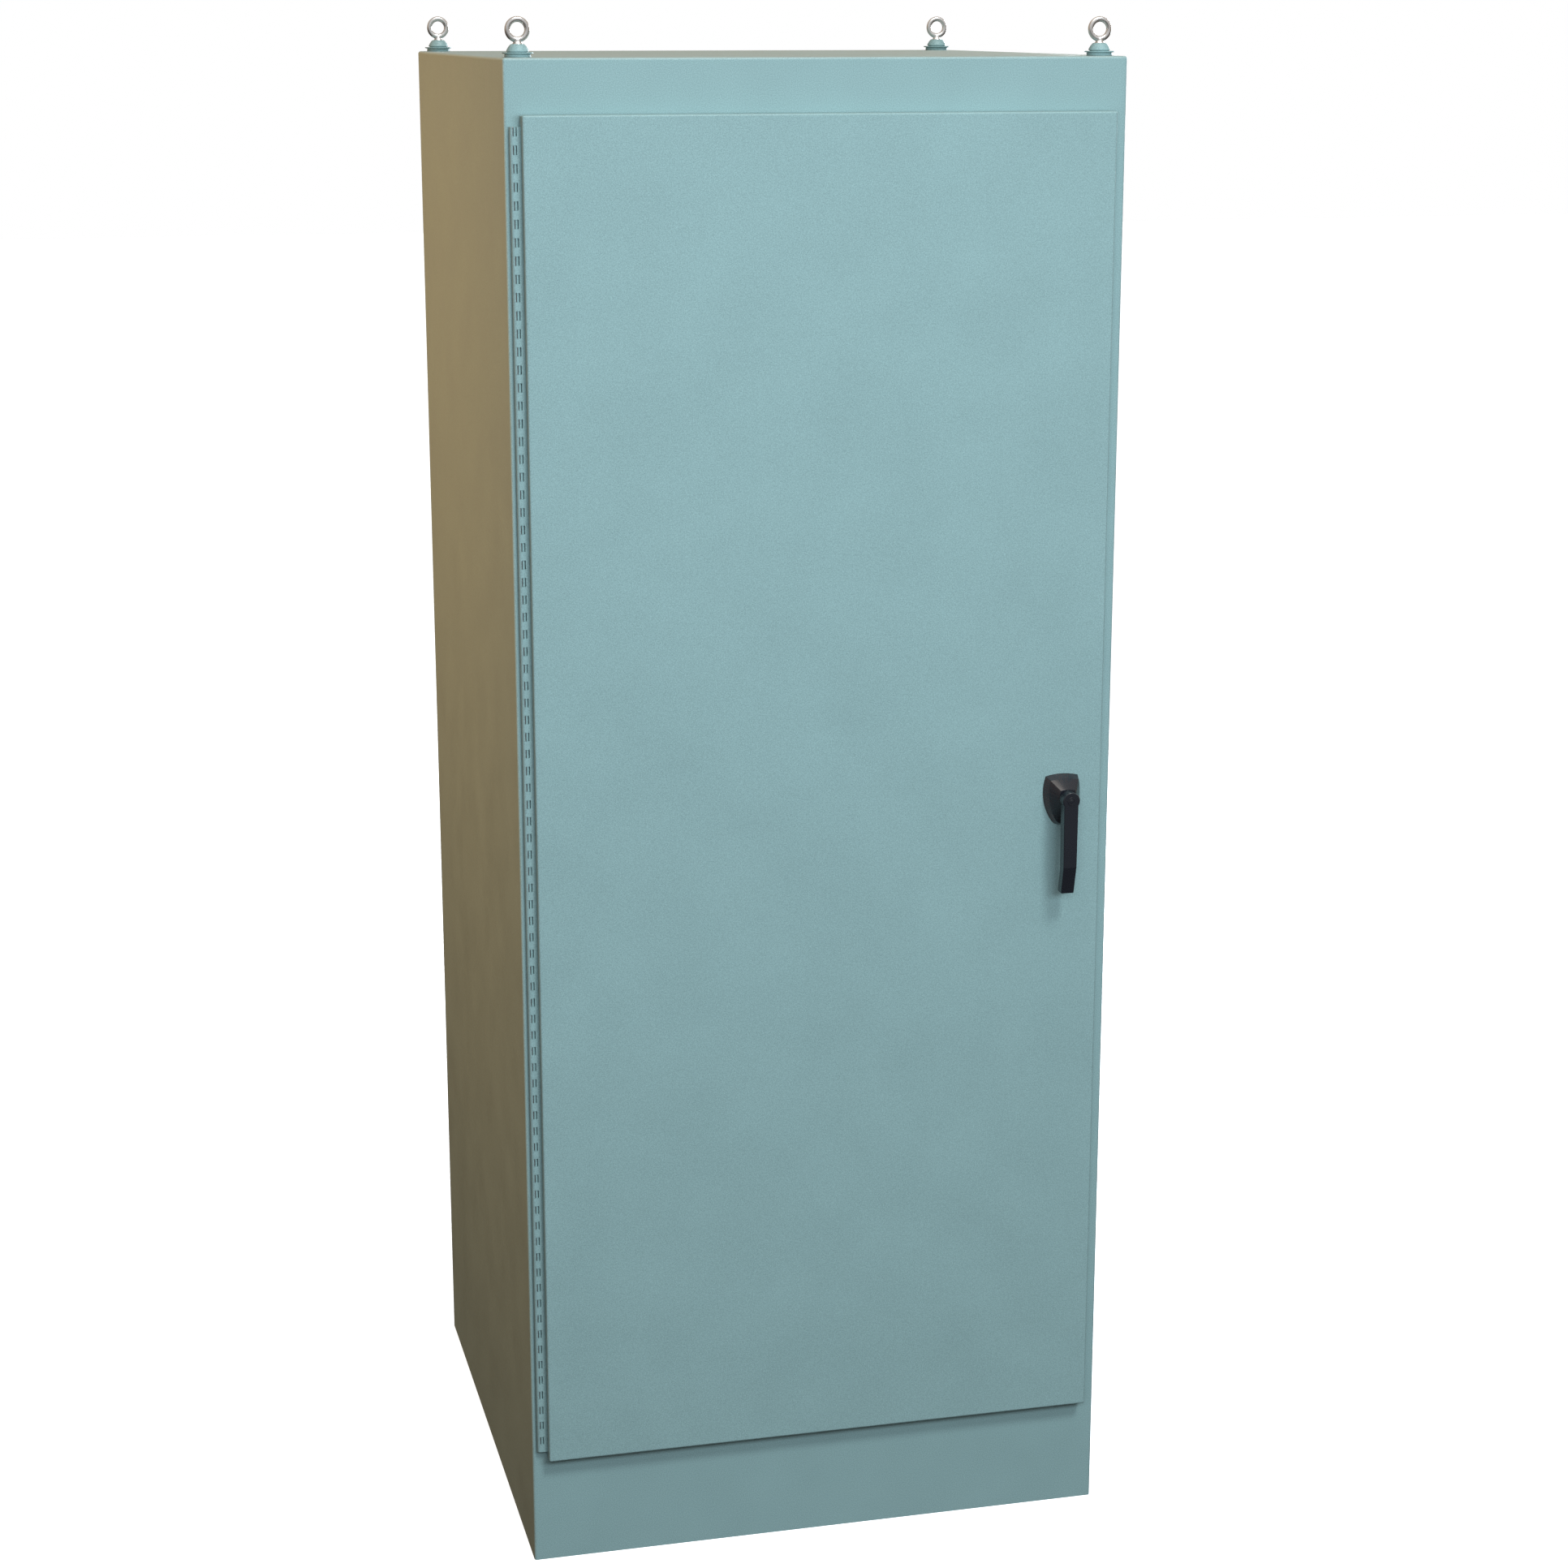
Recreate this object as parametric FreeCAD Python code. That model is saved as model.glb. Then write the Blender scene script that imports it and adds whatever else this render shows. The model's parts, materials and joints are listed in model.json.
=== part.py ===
"""Free-standing sheet-steel enclosure with one hinged door, three-point latch and lifting eyes.

Frame: +Z up, the door faces -Y, +X is to the right of someone facing the door.
The origin is on the floor, under the middle of the cabinet's body. Millimetres.
"""
import FreeCAD, Part
import math
import os

from FreeCAD import Vector

# ---- Cabinet body -------------------------------------------------------------------------
body_width = 916.0
body_depth = 918.0
body_height = 2288.0
sheet = 2.7
bend_radius = 4.0

# ---- Door and the opening behind it ---------------------------------------------------------
door_side_margin = 22.0
door_top_margin = 77.5
door_bottom = 176.5
door_stand = 25.4
door_sheet = 2.0
door_bend_radius = 3.0
door_gap = 2.4
opening_side_margin = 24.0
opening_end_margin = 24.0
lip_height = 13.0
lip_thickness = 2.0
gasket_width = 20.0
gasket_gap = 0.3
screw_hole_clearance = 0.3
spindle_hole_clearance = 1.5

# ---- Continuous hinge -----------------------------------------------------------------------
knuckle_length = 12.7
knuckle_gap = 0.4
hinge_pin_radius = 3.175
hinge_sheet = 1.9
hinge_running_clearance = 0.05
hinge_axis_from_door = 10.7
hinge_axis_lift = 0.4
hinge_bottom_margin = 11.5
hinge_least_top_margin = 9.2
frame_leaf_width = 27.0
door_leaf_flange = 7.4
seam_width = 1.8
leaf_notch_gap = 0.4

# ---- Handle ---------------------------------------------------------------------------------
handle_setback = 63.5
handle_gasket = 1.0
handle_gasket_inset = 0.6
base_half_width = 25.6
base_shoulder = 29.0
base_crest = 32.4
base_side_bulge = 28.2
base_bulge_drop = 10.0
base_foot_half = 13.6
base_foot_drop = 43.0
base_lowest = 48.6
base_wall = 14.0
base_wall_inset = 5.0
base_rise = 31.0
base_top_share = 0.44
lever_gap = 1.0
lever_thickness = 17.0
lever_head_radius = 13.5
lever_length = 147.0
lever_bend_at = 104.0
lever_bend_back = 10.0
lever_top_width = 22.6
lever_end_width = 20.4
lever_edge = 1.6
lever_cap_radius = 6.4
lever_cap_recess = 1.5
lever_cap_stand = 0.8
lever_cap_edge = 0.6
spindle_radius = 6.35
spindle_running_clearance = 0.08
spindle_seat = 13.0
base_screw_radius = 3.0
base_screw_rise = 18.0
base_screw_drop = 36.0
base_screw_reach = 9.0
base_screw_hole_reach = 10.0
base_screw_head_radius = 5.4
base_screw_head = 4.0

# ---- Latch behind the door ------------------------------------------------------------------
bracket_sheet = 3.0
bracket_half = 28.0
cam_thickness = 6.0
cam_gap = 0.8
cam_radius = 33.0
tongue_reach = 52.0
tongue_width = 22.0
cam_square = 9.0
cam_pin_circle = 25.0
cam_pin_radius = 4.0
cam_pin_head = 5.5
cam_pin_slack = 1.0
cam_pin_rod_gap = 1.2
cam_pin_head_height = 2.0
spindle_thread_proud = 1.0
spindle_end_radius = 4.0
nut_across_m8 = 13.0
nut_height_m8 = 6.5

# ---- Latch rods and rollers -----------------------------------------------------------------
rod_thickness = 3.0
rod_width = 16.0
rod_cam_gap = 1.5
rod_roller_gap = 1.2
rod_plate_wall = 4.0
roller_radius = 9.0
roller_width = 11.6
roller_edge = 1.0
roller_overlap = 12.0
roller_strike_gap = 0.4
fork_ear = 3.7
fork_gap = 0.5
fork_half_height = 8.0
axle_radius = 2.5
axle_running_clearance = 0.08
axle_head_radius = 4.5
axle_head = 1.2
guide_sheet = 3.0
guide_half_width = 14.0
guide_seal_gap = 1.0
guide_clearance = 0.6
guide_foot = 20.0
guide_back_wall = 6.0
guide_end_inset = 90.0
guide_middle_inset = 260.0
strike_plate = 3.0
strike_height = 34.0
strike_width = 36.0
cam_strike_gap = 2.0
cam_strike_width = 24.0
cam_strike_half_height = 35.0

# ---- Stiffeners, panel and pocket inside ------------------------------------------------------
hat_sheet = 1.5
hat_crown = 30.0
hat_foot = 15.0
door_hat_depth = 22.0
door_hat_offset = 230.0
door_hat_end_inset = 40.0
wall_hat_depth = 20.0
wall_hat_end_inset = 80.0
wall_hat_count = 3
rail_depth = 25.0
rail_side_margin = 78.0
rail_end_inset = 130.0
panel_side_margin = 52.0
panel_end_margin = 102.5
panel_flange = 15.0
panel_stud_inset = 76.0
panel_stud_radius = 5.0
panel_stud_length = 25.0
panel_hole_clearance = 0.6
panel_washer_radius = 10.5
panel_washer = 2.0
nut_across_m10 = 16.0
nut_height_m10 = 8.0
pocket_width = 300.0
pocket_height = 300.0
pocket_depth = 40.0
pocket_sheet = 1.2
pocket_bottom = 880.0

# ---- Floor anchors, ground studs and lifting eyes ---------------------------------------------
anchor_inset_x = 51.6
anchor_inset_y = 52.6
anchor_hole_radius = 7.15
anchor_plate_side = 80.0
anchor_plate = 6.0
ground_stud_radius = 5.0
ground_stud_length = 30.0
ground_stud_height = 150.0
ground_stud_inset = 120.0
door_stud_radius = 4.0
door_stud_length = 20.0
eye_from_side = 28.5
eye_from_front = 43.5
lifting_plate_side = 100.0
lifting_plate = 6.0
eye_shank_radius = 6.35
eye_hole_clearance = 0.25
boss_radius = 18.7
boss_height = 4.3
boss_edge = 1.0
dish_radius = 21.9
dish_thickness = 1.4
dish_lift = 1.0
collar_radius = 15.8
collar_neck_radius = 14.0
collar_neck_height = 1.4
collar_height = 12.5
collar_flare = 0.8
collar_side_drop = 5.5
collar_shoulder_drop = 2.6
collar_shoulder_inset = 1.2
collar_crown_drop = 0.7
collar_crown_inset = 3.4
collar_top_inset = 7.1
eye_ring_radius = 14.0
eye_stock_radius = 4.0
eye_centre_height = 38.0
eye_neck_foot_radius = 7.5
eye_neck_radius = 5.0
eye_shank_proud = 6.0
nut_across_m12 = 19.0
nut_height_m12 = 10.8
nut_fit = 0.02

# ---- Planes and lines that the pieces share ---------------------------------------------------
door_width = body_width - 2 * door_side_margin
door_height = body_height - door_bottom - door_top_margin
panel_width = body_width - 2 * panel_side_margin
panel_height = body_height - 2 * panel_end_margin
panel_stud_pitch = panel_width / 2 - panel_stud_inset
rail_length = body_width - 2 * rail_side_margin
half_width = body_width / 2
half_depth = body_depth / 2
anchor_x = half_width - anchor_inset_x
anchor_y = half_depth - anchor_inset_y
frame_front = -half_depth
frame_back = frame_front + sheet
door_front = frame_front - door_stand
skin_back = door_front + door_sheet
door_left = -door_width / 2
door_right = door_width / 2
door_top = door_bottom + door_height
return_end = frame_front - door_gap
opening_half = door_width / 2 - opening_side_margin
opening_low = door_bottom + opening_end_margin
opening_high = door_top - opening_end_margin
lip_front = frame_front - lip_height
gasket_near = opening_half + lip_thickness / 2 - gasket_width / 2
hinge_outer_radius = hinge_pin_radius + hinge_sheet
hinge_x = door_left - hinge_axis_from_door
hinge_y = frame_front - hinge_outer_radius - hinge_axis_lift
knuckle_count = int((door_height - hinge_bottom_margin - hinge_least_top_margin) / knuckle_length)
hinge_low = door_bottom + hinge_bottom_margin
hinge_high = hinge_low + knuckle_count * knuckle_length
pivot_x = door_right - handle_setback
pivot_z = door_bottom + door_height / 2
base_back = door_front - handle_gasket
lever_back = base_back - base_rise - lever_gap
lever_front = lever_back - lever_thickness
roller_y = frame_back + strike_plate + roller_strike_gap + roller_radius
rod_front = roller_y + roller_radius + rod_roller_gap
rod_back = rod_front + rod_thickness
cam_back = rod_front - rod_cam_gap
cam_front = cam_back - cam_thickness
bracket_back = cam_front - cam_gap
pin_offset = cam_pin_circle * math.sin(math.radians(45.0))
rod_offset = (pin_offset + cam_pin_circle) / 2
inner_x = half_width - sheet
inner_y = half_depth - sheet
inner_top = body_height - sheet
panel_back = inner_y - rail_depth
panel_front = panel_back - sheet
panel_low = panel_end_margin


# ---- Small helpers ----------------------------------------------------------------------------
def block(x, y, z):
    """A box between pairs of limits along X, Y and Z."""
    corner = Vector(min(x), min(y), min(z))
    return Part.makeBox(abs(x[1] - x[0]), abs(y[1] - y[0]), abs(z[1] - z[0]), corner)


def post(radius, start, end):
    """A cylinder between two points."""
    run = Vector(*end) - Vector(*start)
    return Part.makeCylinder(radius, run.Length, Vector(*start), run)


def fused(pieces):
    """One clean solid from pieces that meet."""
    return pieces[0].multiFuse(pieces[1:]).removeSplitter()


def group(pieces):
    """Separate solids that share one node."""
    return Part.makeCompound(pieces)


def turned(points, at):
    """A solid of revolution about a vertical axis through a point, from (radius, height) points."""
    wire = Part.makePolygon([Vector(r, 0, z) for r, z in points + points[:1]])
    solid = Part.Face(wire).revolve(Vector(0, 0, 0), Vector(0, 0, 1), 360)
    solid.translate(Vector(*at))
    return solid


def prism(points, depth, normal):
    """A straight extrusion of a closed polygon."""
    wire = Part.makePolygon([Vector(*p) for p in points + points[:1]])
    return Part.Face(wire).extrude(Vector(*normal) * depth)


def hex_nut(across, bore, height, at, axis):
    """A hexagon nut whose seat is at a point, standing along an axis."""
    corner = across / math.sqrt(3)
    angles = [math.radians(60 * i) for i in range(6)]
    points = [(corner * math.cos(a), corner * math.sin(a), 0) for a in angles]
    nut = prism(points, height, (0, 0, 1)).cut(Part.makeCylinder(bore, height))
    nut.Placement = FreeCAD.Placement(Vector(*at), FreeCAD.Rotation(Vector(0, 0, 1), Vector(*axis)))
    return nut


def edges_where(shape, test):
    """The edges of a shape whose box passes a test."""
    return [edge for edge in shape.Edges if test(edge.BoundBox)]


def hat_section(length, depth):
    """A hat channel along +Z, its feet on the plane y = 0, its crown at y = depth."""
    crown = hat_crown / 2
    foot = crown + hat_foot
    t = hat_sheet
    outline = [(-foot, 0), (-foot, t), (-crown, t), (-crown, depth), (crown, depth), (crown, t), (foot, t),
               (foot, 0), (crown - t, 0), (crown - t, depth - t), (t - crown, depth - t), (t - crown, 0)]
    return prism([(x, y, 0) for x, y in outline], length, (0, 0, 1))


def placed(shape, at, turn_axis=(0, 0, 1), turn=0.0):
    """A copy of a shape turned about an axis through the origin, then moved."""
    copy = shape.copy()
    copy.rotate(Vector(0, 0, 0), Vector(*turn_axis), turn)
    copy.translate(Vector(*at))
    return copy


# ---- The welded body ----------------------------------------------------------------------------
def rounded_body(inset, radius):
    """The body's outer form, or its inner form, with rounded upright and top edges."""
    x = half_width - inset
    y = half_depth - inset
    top = body_height - inset
    form = block((-x, x), (-y, y), (0, top))
    upright_or_top = edges_where(form, lambda b: b.ZLength > 1 or b.ZMin > top - 1)
    return form.makeFillet(radius, upright_or_top)


def body_shell():
    """The bent skin of the cabinet, open below, with the door opening cut through its front."""
    skin = rounded_body(0, bend_radius).cut(rounded_body(sheet, bend_radius - sheet))
    reach = opening_half + lip_thickness
    heights = (opening_low - lip_thickness, opening_high + lip_thickness)
    return skin.cut(block((-reach, reach), (frame_front - 1, frame_back + 1), heights))


def body_panels():
    """The skin cut along its welds into the pieces that it is made of."""
    shell = body_shell()
    wide = (-body_width, body_width)
    deep = (-body_depth, body_depth)
    lid = body_height - bend_radius
    front = (frame_front - 1, frame_front + bend_radius)
    middle = (front[1], half_depth - bend_radius)
    low_weld = opening_low - lip_thickness
    high_weld = opening_high + lip_thickness
    roof = shell.common(block(wide, deep, (lid, body_height + 1)))
    bore = eye_shank_radius + eye_hole_clearance
    holes = [post(bore, (x, y, lid - 1), (x, y, body_height + 1)) for x, y in eye_places().values()]
    return {
        "roof_panel": roof.cut(holes),
        "back_panel": shell.common(block(wide, (middle[1], half_depth + 1), (0, lid))),
        "left_side_panel": shell.common(block((-body_width, 0), middle, (0, lid))),
        "right_side_panel": shell.common(block((0, body_width), middle, (0, lid))),
        "frame_header": shell.common(block(wide, front, (high_weld, lid))),
        "frame_sill": shell.common(block(wide, front, (0, low_weld))),
        "left_jamb": shell.common(block((-body_width, 0), front, (low_weld, high_weld))),
        "right_jamb": shell.common(block((0, body_width), front, (low_weld, high_weld))),
    }


def opening_lip():
    """The collar that stands forward round the door opening and bites into the gasket."""
    y = (lip_front, frame_back)
    outer = opening_half + lip_thickness
    heights = (opening_low - lip_thickness, opening_high + lip_thickness)
    return group([
        block((-outer, -opening_half), y, heights),
        block((opening_half, outer), y, heights),
        block((-opening_half, opening_half), y, (opening_high, heights[1])),
        block((-opening_half, opening_half), y, (heights[0], opening_low)),
    ])


def corners(x, y):
    """The four corners of a rectangle centred on the origin."""
    return [(sx * x, sy * y) for sx in (-1, 1) for sy in (-1, 1)]


def floor_panel():
    """The floor sheet, inside the foot of the walls, with its anchor holes."""
    layer = block((-body_width, body_width), (-body_depth, body_depth), (0, sheet))
    floor = rounded_body(sheet, bend_radius - sheet).common(layer)
    for x, y in corners(anchor_x, anchor_y):
        floor = floor.cut(post(anchor_hole_radius, (x, y, -1), (x, y, sheet + 1)))
    return floor


def floor_anchor_plates():
    """Four plates that spread the load of the floor anchors."""
    plates = []
    half = anchor_plate_side / 2
    top = sheet + anchor_plate
    for x, y in corners(anchor_x, anchor_y):
        plate = block((x - half, x + half), (y - half, y + half), (sheet, top))
        plates.append(plate.cut(post(anchor_hole_radius, (x, y, 0), (x, y, top + 1))))
    return group(plates)


def wall_stiffeners(side):
    """Level hat channels on the inside of one side wall."""
    length = body_depth - 2 * wall_hat_end_inset
    hat = hat_section(length, wall_hat_depth)
    lying = placed(hat, (0, 0, 0), (1, 0, 0), -90)
    lying.rotate(Vector(0, 0, 0), Vector(0, 1, 0), 90 if side < 0 else -90)
    lying = centred(lying)
    x = side * (inner_x - wall_hat_depth / 2)
    step = body_height / (wall_hat_count + 1)
    return group([placed(lying, (x, 0, step * (i + 1))) for i in range(wall_hat_count)])


def centred(shape):
    """A copy of a shape with the middle of its box at the origin."""
    return placed(shape, (-shape.BoundBox.Center.x, -shape.BoundBox.Center.y, -shape.BoundBox.Center.z))


def roof_stiffener():
    """One hat channel across the middle of the roof, from side to side."""
    hat = hat_section(body_width - 2 * wall_hat_end_inset, wall_hat_depth)
    hat.rotate(Vector(0, 0, 0), Vector(0, 1, 0), 90)
    hat.rotate(Vector(0, 0, 0), Vector(1, 0, 0), -90)
    return placed(centred(hat), (0, 0, inner_top - wall_hat_depth / 2))


# ---- Lifting eyes -------------------------------------------------------------------------------
def eye_places():
    """Name and plan position of each lifting eye."""
    x = half_width - eye_from_side
    y = half_depth - eye_from_front
    return {"front_left": (-x, -y), "front_right": (x, -y), "rear_left": (-x, y), "rear_right": (x, y)}


def eyebolt(x, y):
    """Ring, neck and threaded shank, forged in one."""
    ring_z = body_height + eye_centre_height
    shank_end = inner_top - lifting_plate - nut_height_m12 - eye_shank_proud
    collar_top = body_height + boss_height + dish_thickness + collar_height
    ring = Part.makeTorus(eye_ring_radius, eye_stock_radius, Vector(x, y, ring_z), Vector(0, 1, 0))
    neck_height = ring_z - eye_ring_radius - collar_top
    neck = Part.makeCone(eye_neck_foot_radius, eye_neck_radius, neck_height, Vector(x, y, collar_top))
    shank = post(eye_shank_radius, (x, y, shank_end), (x, y, collar_top))
    return fused([ring, neck, shank])


def eye_stack():
    """The pieces under each eye, each as a group of four: boss, dished washer, collar, plate and nut."""
    bore = eye_shank_radius + eye_hole_clearance
    boss_top = boss_height
    boss_rim = boss_radius - boss_edge
    dish_top = boss_top + dish_thickness
    neck_top = dish_top + collar_neck_height
    collar_top = dish_top + collar_height
    rows = {"eyebolt_bosses": [], "eyebolt_washers": [], "eyebolt_collars": [], "lifting_plates": [],
            "eyebolt_nuts": []}
    for x, y in eye_places().values():
        at = (x, y, body_height)
        rows["eyebolt_bosses"].append(turned(
            [(bore, 0), (boss_radius, 0), (boss_radius, boss_top - boss_edge), (boss_rim, boss_top),
             (bore, boss_top)], at))
        rows["eyebolt_washers"].append(turned(
            [(bore, boss_top), (boss_rim, boss_top), (dish_radius, boss_top + dish_lift),
             (dish_radius, dish_top + dish_lift), (boss_rim, dish_top), (bore, dish_top)], at))
        rows["eyebolt_collars"].append(turned(
            [(bore, dish_top), (collar_neck_radius, dish_top), (collar_neck_radius, neck_top),
             (collar_radius, neck_top + collar_flare), (collar_radius, collar_top - collar_side_drop),
             (collar_radius - collar_shoulder_inset, collar_top - collar_shoulder_drop),
             (collar_radius - collar_crown_inset, collar_top - collar_crown_drop),
             (collar_radius - collar_top_inset, collar_top), (bore, collar_top)], at))
        rows["lifting_plates"].append(lifting_corner_plate(x, y, bore))
        seat = (x, y, inner_top - lifting_plate)
        rows["eyebolt_nuts"].append(hex_nut(nut_across_m12, eye_shank_radius + nut_fit, nut_height_m12, seat,
                                            (0, 0, -1)))
    return {name: group(pieces) for name, pieces in rows.items()}


def lifting_corner_plate(x, y, bore):
    """A plate under one corner of the roof, which takes the pull of its eye."""
    sx = math.copysign(1, x)
    sy = math.copysign(1, y)
    corner_x = sx * (inner_x - bend_radius)
    corner_y = sy * (inner_y - bend_radius)
    low = inner_top - lifting_plate
    span_x = (corner_x, corner_x - sx * lifting_plate_side)
    span_y = (corner_y, corner_y - sy * lifting_plate_side)
    plate = block(span_x, span_y, (low, inner_top))
    return plate.cut(post(bore, (x, y, low - 1), (x, y, inner_top + 1)))


# ---- Equipment panel ------------------------------------------------------------------------------
def rail_heights():
    """Heights of the two rails that carry the equipment panel."""
    return (panel_low + rail_end_inset, panel_low + panel_height - rail_end_inset)


def panel_stud_places():
    """X and Z of each stud, three on each rail."""
    return [(i * panel_stud_pitch, z) for z in rail_heights() for i in (-1, 0, 1)]


def panel_rails():
    """Two hat rails across the back wall."""
    hat = hat_section(rail_length, rail_depth)
    hat.rotate(Vector(0, 0, 0), Vector(0, 1, 0), 90)
    hat.rotate(Vector(0, 0, 0), Vector(1, 0, 0), 180)
    hat = centred(hat)
    return group([placed(hat, (0, inner_y - rail_depth / 2, z)) for z in rail_heights()])


def equipment_panel():
    """The removable back panel: a sheet with its two long edges folded back, hung on six studs."""
    half = panel_width / 2
    heights = (panel_low, panel_low + panel_height)
    face = block((-half, half), (panel_front, panel_back), heights)
    flanges = [block((side * (half - sheet), side * half), (panel_back, panel_back + panel_flange), heights)
               for side in (-1, 1)]
    panel = fused([face] + flanges)
    hole = panel_stud_radius + panel_hole_clearance
    for x, z in panel_stud_places():
        panel = panel.cut(post(hole, (x, panel_front - 1, z), (x, panel_back + 1, z)))
    return panel


def panel_fasteners():
    """Studs welded to the rails, and the washers and nuts that hold the panel."""
    rows = {"panel_studs": [], "panel_washers": [], "panel_nuts": []}
    washer_front = panel_front - panel_washer
    for x, z in panel_stud_places():
        rows["panel_studs"].append(post(panel_stud_radius, (x, panel_back, z),
                                        (x, panel_back - panel_stud_length, z)))
        washer = post(panel_washer_radius, (x, washer_front, z), (x, panel_front, z))
        bore = post(panel_stud_radius + nut_fit, (x, washer_front - 1, z), (x, panel_front + 1, z))
        rows["panel_washers"].append(washer.cut(bore))
        rows["panel_nuts"].append(hex_nut(nut_across_m10, panel_stud_radius + nut_fit, nut_height_m10,
                                          (x, washer_front, z), (0, -1, 0)))
    return {name: group(pieces) for name, pieces in rows.items()}


def cabinet_ground_stud():
    """The earthing stud on the left wall, near the floor."""
    y = frame_front + ground_stud_inset
    start = (-inner_x, y, ground_stud_height)
    return post(ground_stud_radius, start, (-inner_x + ground_stud_length, y, ground_stud_height))


# ---- Door ------------------------------------------------------------------------------------------
def folded_sheet(x, y, z, radius):
    """A block whose front edges and front-to-back edges are rounded, as a folded sheet's are."""
    form = block(x, y, z)
    front = min(y) + 1
    return form.makeFillet(radius, edges_where(form, lambda b: b.YMax < front or b.YLength > 1))


def door_holes(front, back):
    """Drills for the spindle and the base screws, from one Y to another."""
    radii = [(pivot_z, spindle_radius + spindle_hole_clearance)]
    radii += [(z, base_screw_radius + screw_hole_clearance) for z in base_screw_heights()]
    return [post(radius, (pivot_x, front, z), (pivot_x, back, z)) for z, radius in radii]


def door_panel():
    """The door: one sheet with all four edges folded back."""
    outer = folded_sheet((door_left, door_right), (door_front, return_end), (door_bottom, door_top),
                         door_bend_radius)
    inner = folded_sheet((door_left + door_sheet, door_right - door_sheet), (skin_back, return_end + 1),
                         (door_bottom + door_sheet, door_top - door_sheet), door_bend_radius - door_sheet)
    return outer.cut(inner).cut(door_holes(door_front - 1, skin_back + 1))


def door_gasket():
    """The foam strip inside the door, lying over the edge of the opening's lip."""
    y = (skin_back, lip_front - gasket_gap)
    near = gasket_near
    far = near + gasket_width
    low = opening_low - lip_thickness / 2 - gasket_width / 2
    high = opening_high + lip_thickness / 2 + gasket_width / 2
    return group([
        block((-far, -near), y, (low, high)),
        block((near, far), y, (low, high)),
        block((-near, near), y, (low, low + gasket_width)),
        block((-near, near), y, (high - gasket_width, high)),
    ])


def door_stiffeners():
    """Two upright hat channels on the inside of the door."""
    low = opening_low + door_hat_end_inset
    hat = hat_section(opening_high - opening_low - 2 * door_hat_end_inset, door_hat_depth)
    return group([placed(hat, (side * door_hat_offset, skin_back, low)) for side in (-1, 1)])


def print_pocket():
    """An open-topped pocket for drawings on the inside of the door."""
    x = pocket_width / 2
    y = skin_back + pocket_depth
    top = pocket_bottom + pocket_height
    outer = block((-x, x), (skin_back, y), (pocket_bottom, top))
    hollow = block((pocket_sheet - x, x - pocket_sheet), (skin_back - 1, y - pocket_sheet),
                   (pocket_bottom + pocket_sheet, top + 1))
    foot_y = (skin_back, skin_back + pocket_sheet)
    feet = [block((side * x, side * (x + hat_foot)), foot_y, (pocket_bottom, top)) for side in (-1, 1)]
    return fused([outer.cut(hollow)] + feet)


def door_ground_stud():
    """The earthing stud on the inside of the door, near the hinge."""
    x = -opening_half + ground_stud_inset / 2
    z = opening_low + ground_stud_inset
    return post(door_stud_radius, (x, skin_back, z), (x, skin_back + door_stud_length, z))


# ---- Continuous hinge --------------------------------------------------------------------------------
def knuckle_span(index):
    """The lowest and highest Z of one knuckle, counted from the bottom."""
    low = hinge_low + index * knuckle_length
    return (low + knuckle_gap / 2, low + knuckle_length - knuckle_gap / 2)


def on_hinge_axis(radius, span):
    """A cylinder on the hinge's axis between two heights."""
    return post(radius, (hinge_x, hinge_y, span[0]), (hinge_x, hinge_y, span[1]))


def hinge_leaf(plates, tab_y, first, seamed):
    """A leaf: flat plates, and at every second place a tab with a rolled knuckle."""
    start = hinge_x + hinge_outer_radius + leaf_notch_gap
    seam_x = (hinge_x - seam_width / 2, hinge_x + seam_width / 2)
    seam_y = (hinge_y - hinge_outer_radius - 1, hinge_y - hinge_pin_radius)
    pieces = list(plates)
    for index in range(first, knuckle_count, 2):
        span = knuckle_span(index)
        ring = on_hinge_axis(hinge_outer_radius, span)
        if seamed:
            ring = ring.cut(block(seam_x, seam_y, span))
        pieces += [ring, block((hinge_x, start), tab_y, span)]
    bore = on_hinge_axis(hinge_pin_radius + hinge_running_clearance, (hinge_low - 1, hinge_high + 1))
    return fused(pieces).cut(bore)


def hinge_frame_leaf():
    """The leaf welded to the frame; the seams of its rolled knuckles face forward."""
    start = hinge_x + hinge_outer_radius + leaf_notch_gap
    y = (frame_front - hinge_sheet, frame_front)
    return hinge_leaf([block((start, hinge_x + frame_leaf_width), y, (hinge_low, hinge_high))], y, 1, True)


def hinge_door_leaf():
    """The leaf welded to the door's folded edge, with the knuckles in between."""
    start = hinge_x + hinge_outer_radius + leaf_notch_gap
    front = hinge_y - hinge_outer_radius
    y = (front, front + hinge_sheet)
    heights = (hinge_low, hinge_high)
    flange = block((door_left - hinge_sheet, door_left), (front, front + door_leaf_flange), heights)
    return hinge_leaf([block((start, door_left), y, heights), flange], y, 0, False)


def hinge_pin():
    """The pin, as long as the hinge."""
    return on_hinge_axis(hinge_pin_radius, (hinge_low, hinge_high))


# ---- Handle --------------------------------------------------------------------------------------------
def base_screw_heights():
    """Heights of the two screws that hold the handle's base."""
    return (pivot_z + base_screw_rise, pivot_z - base_screw_drop)


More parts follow.
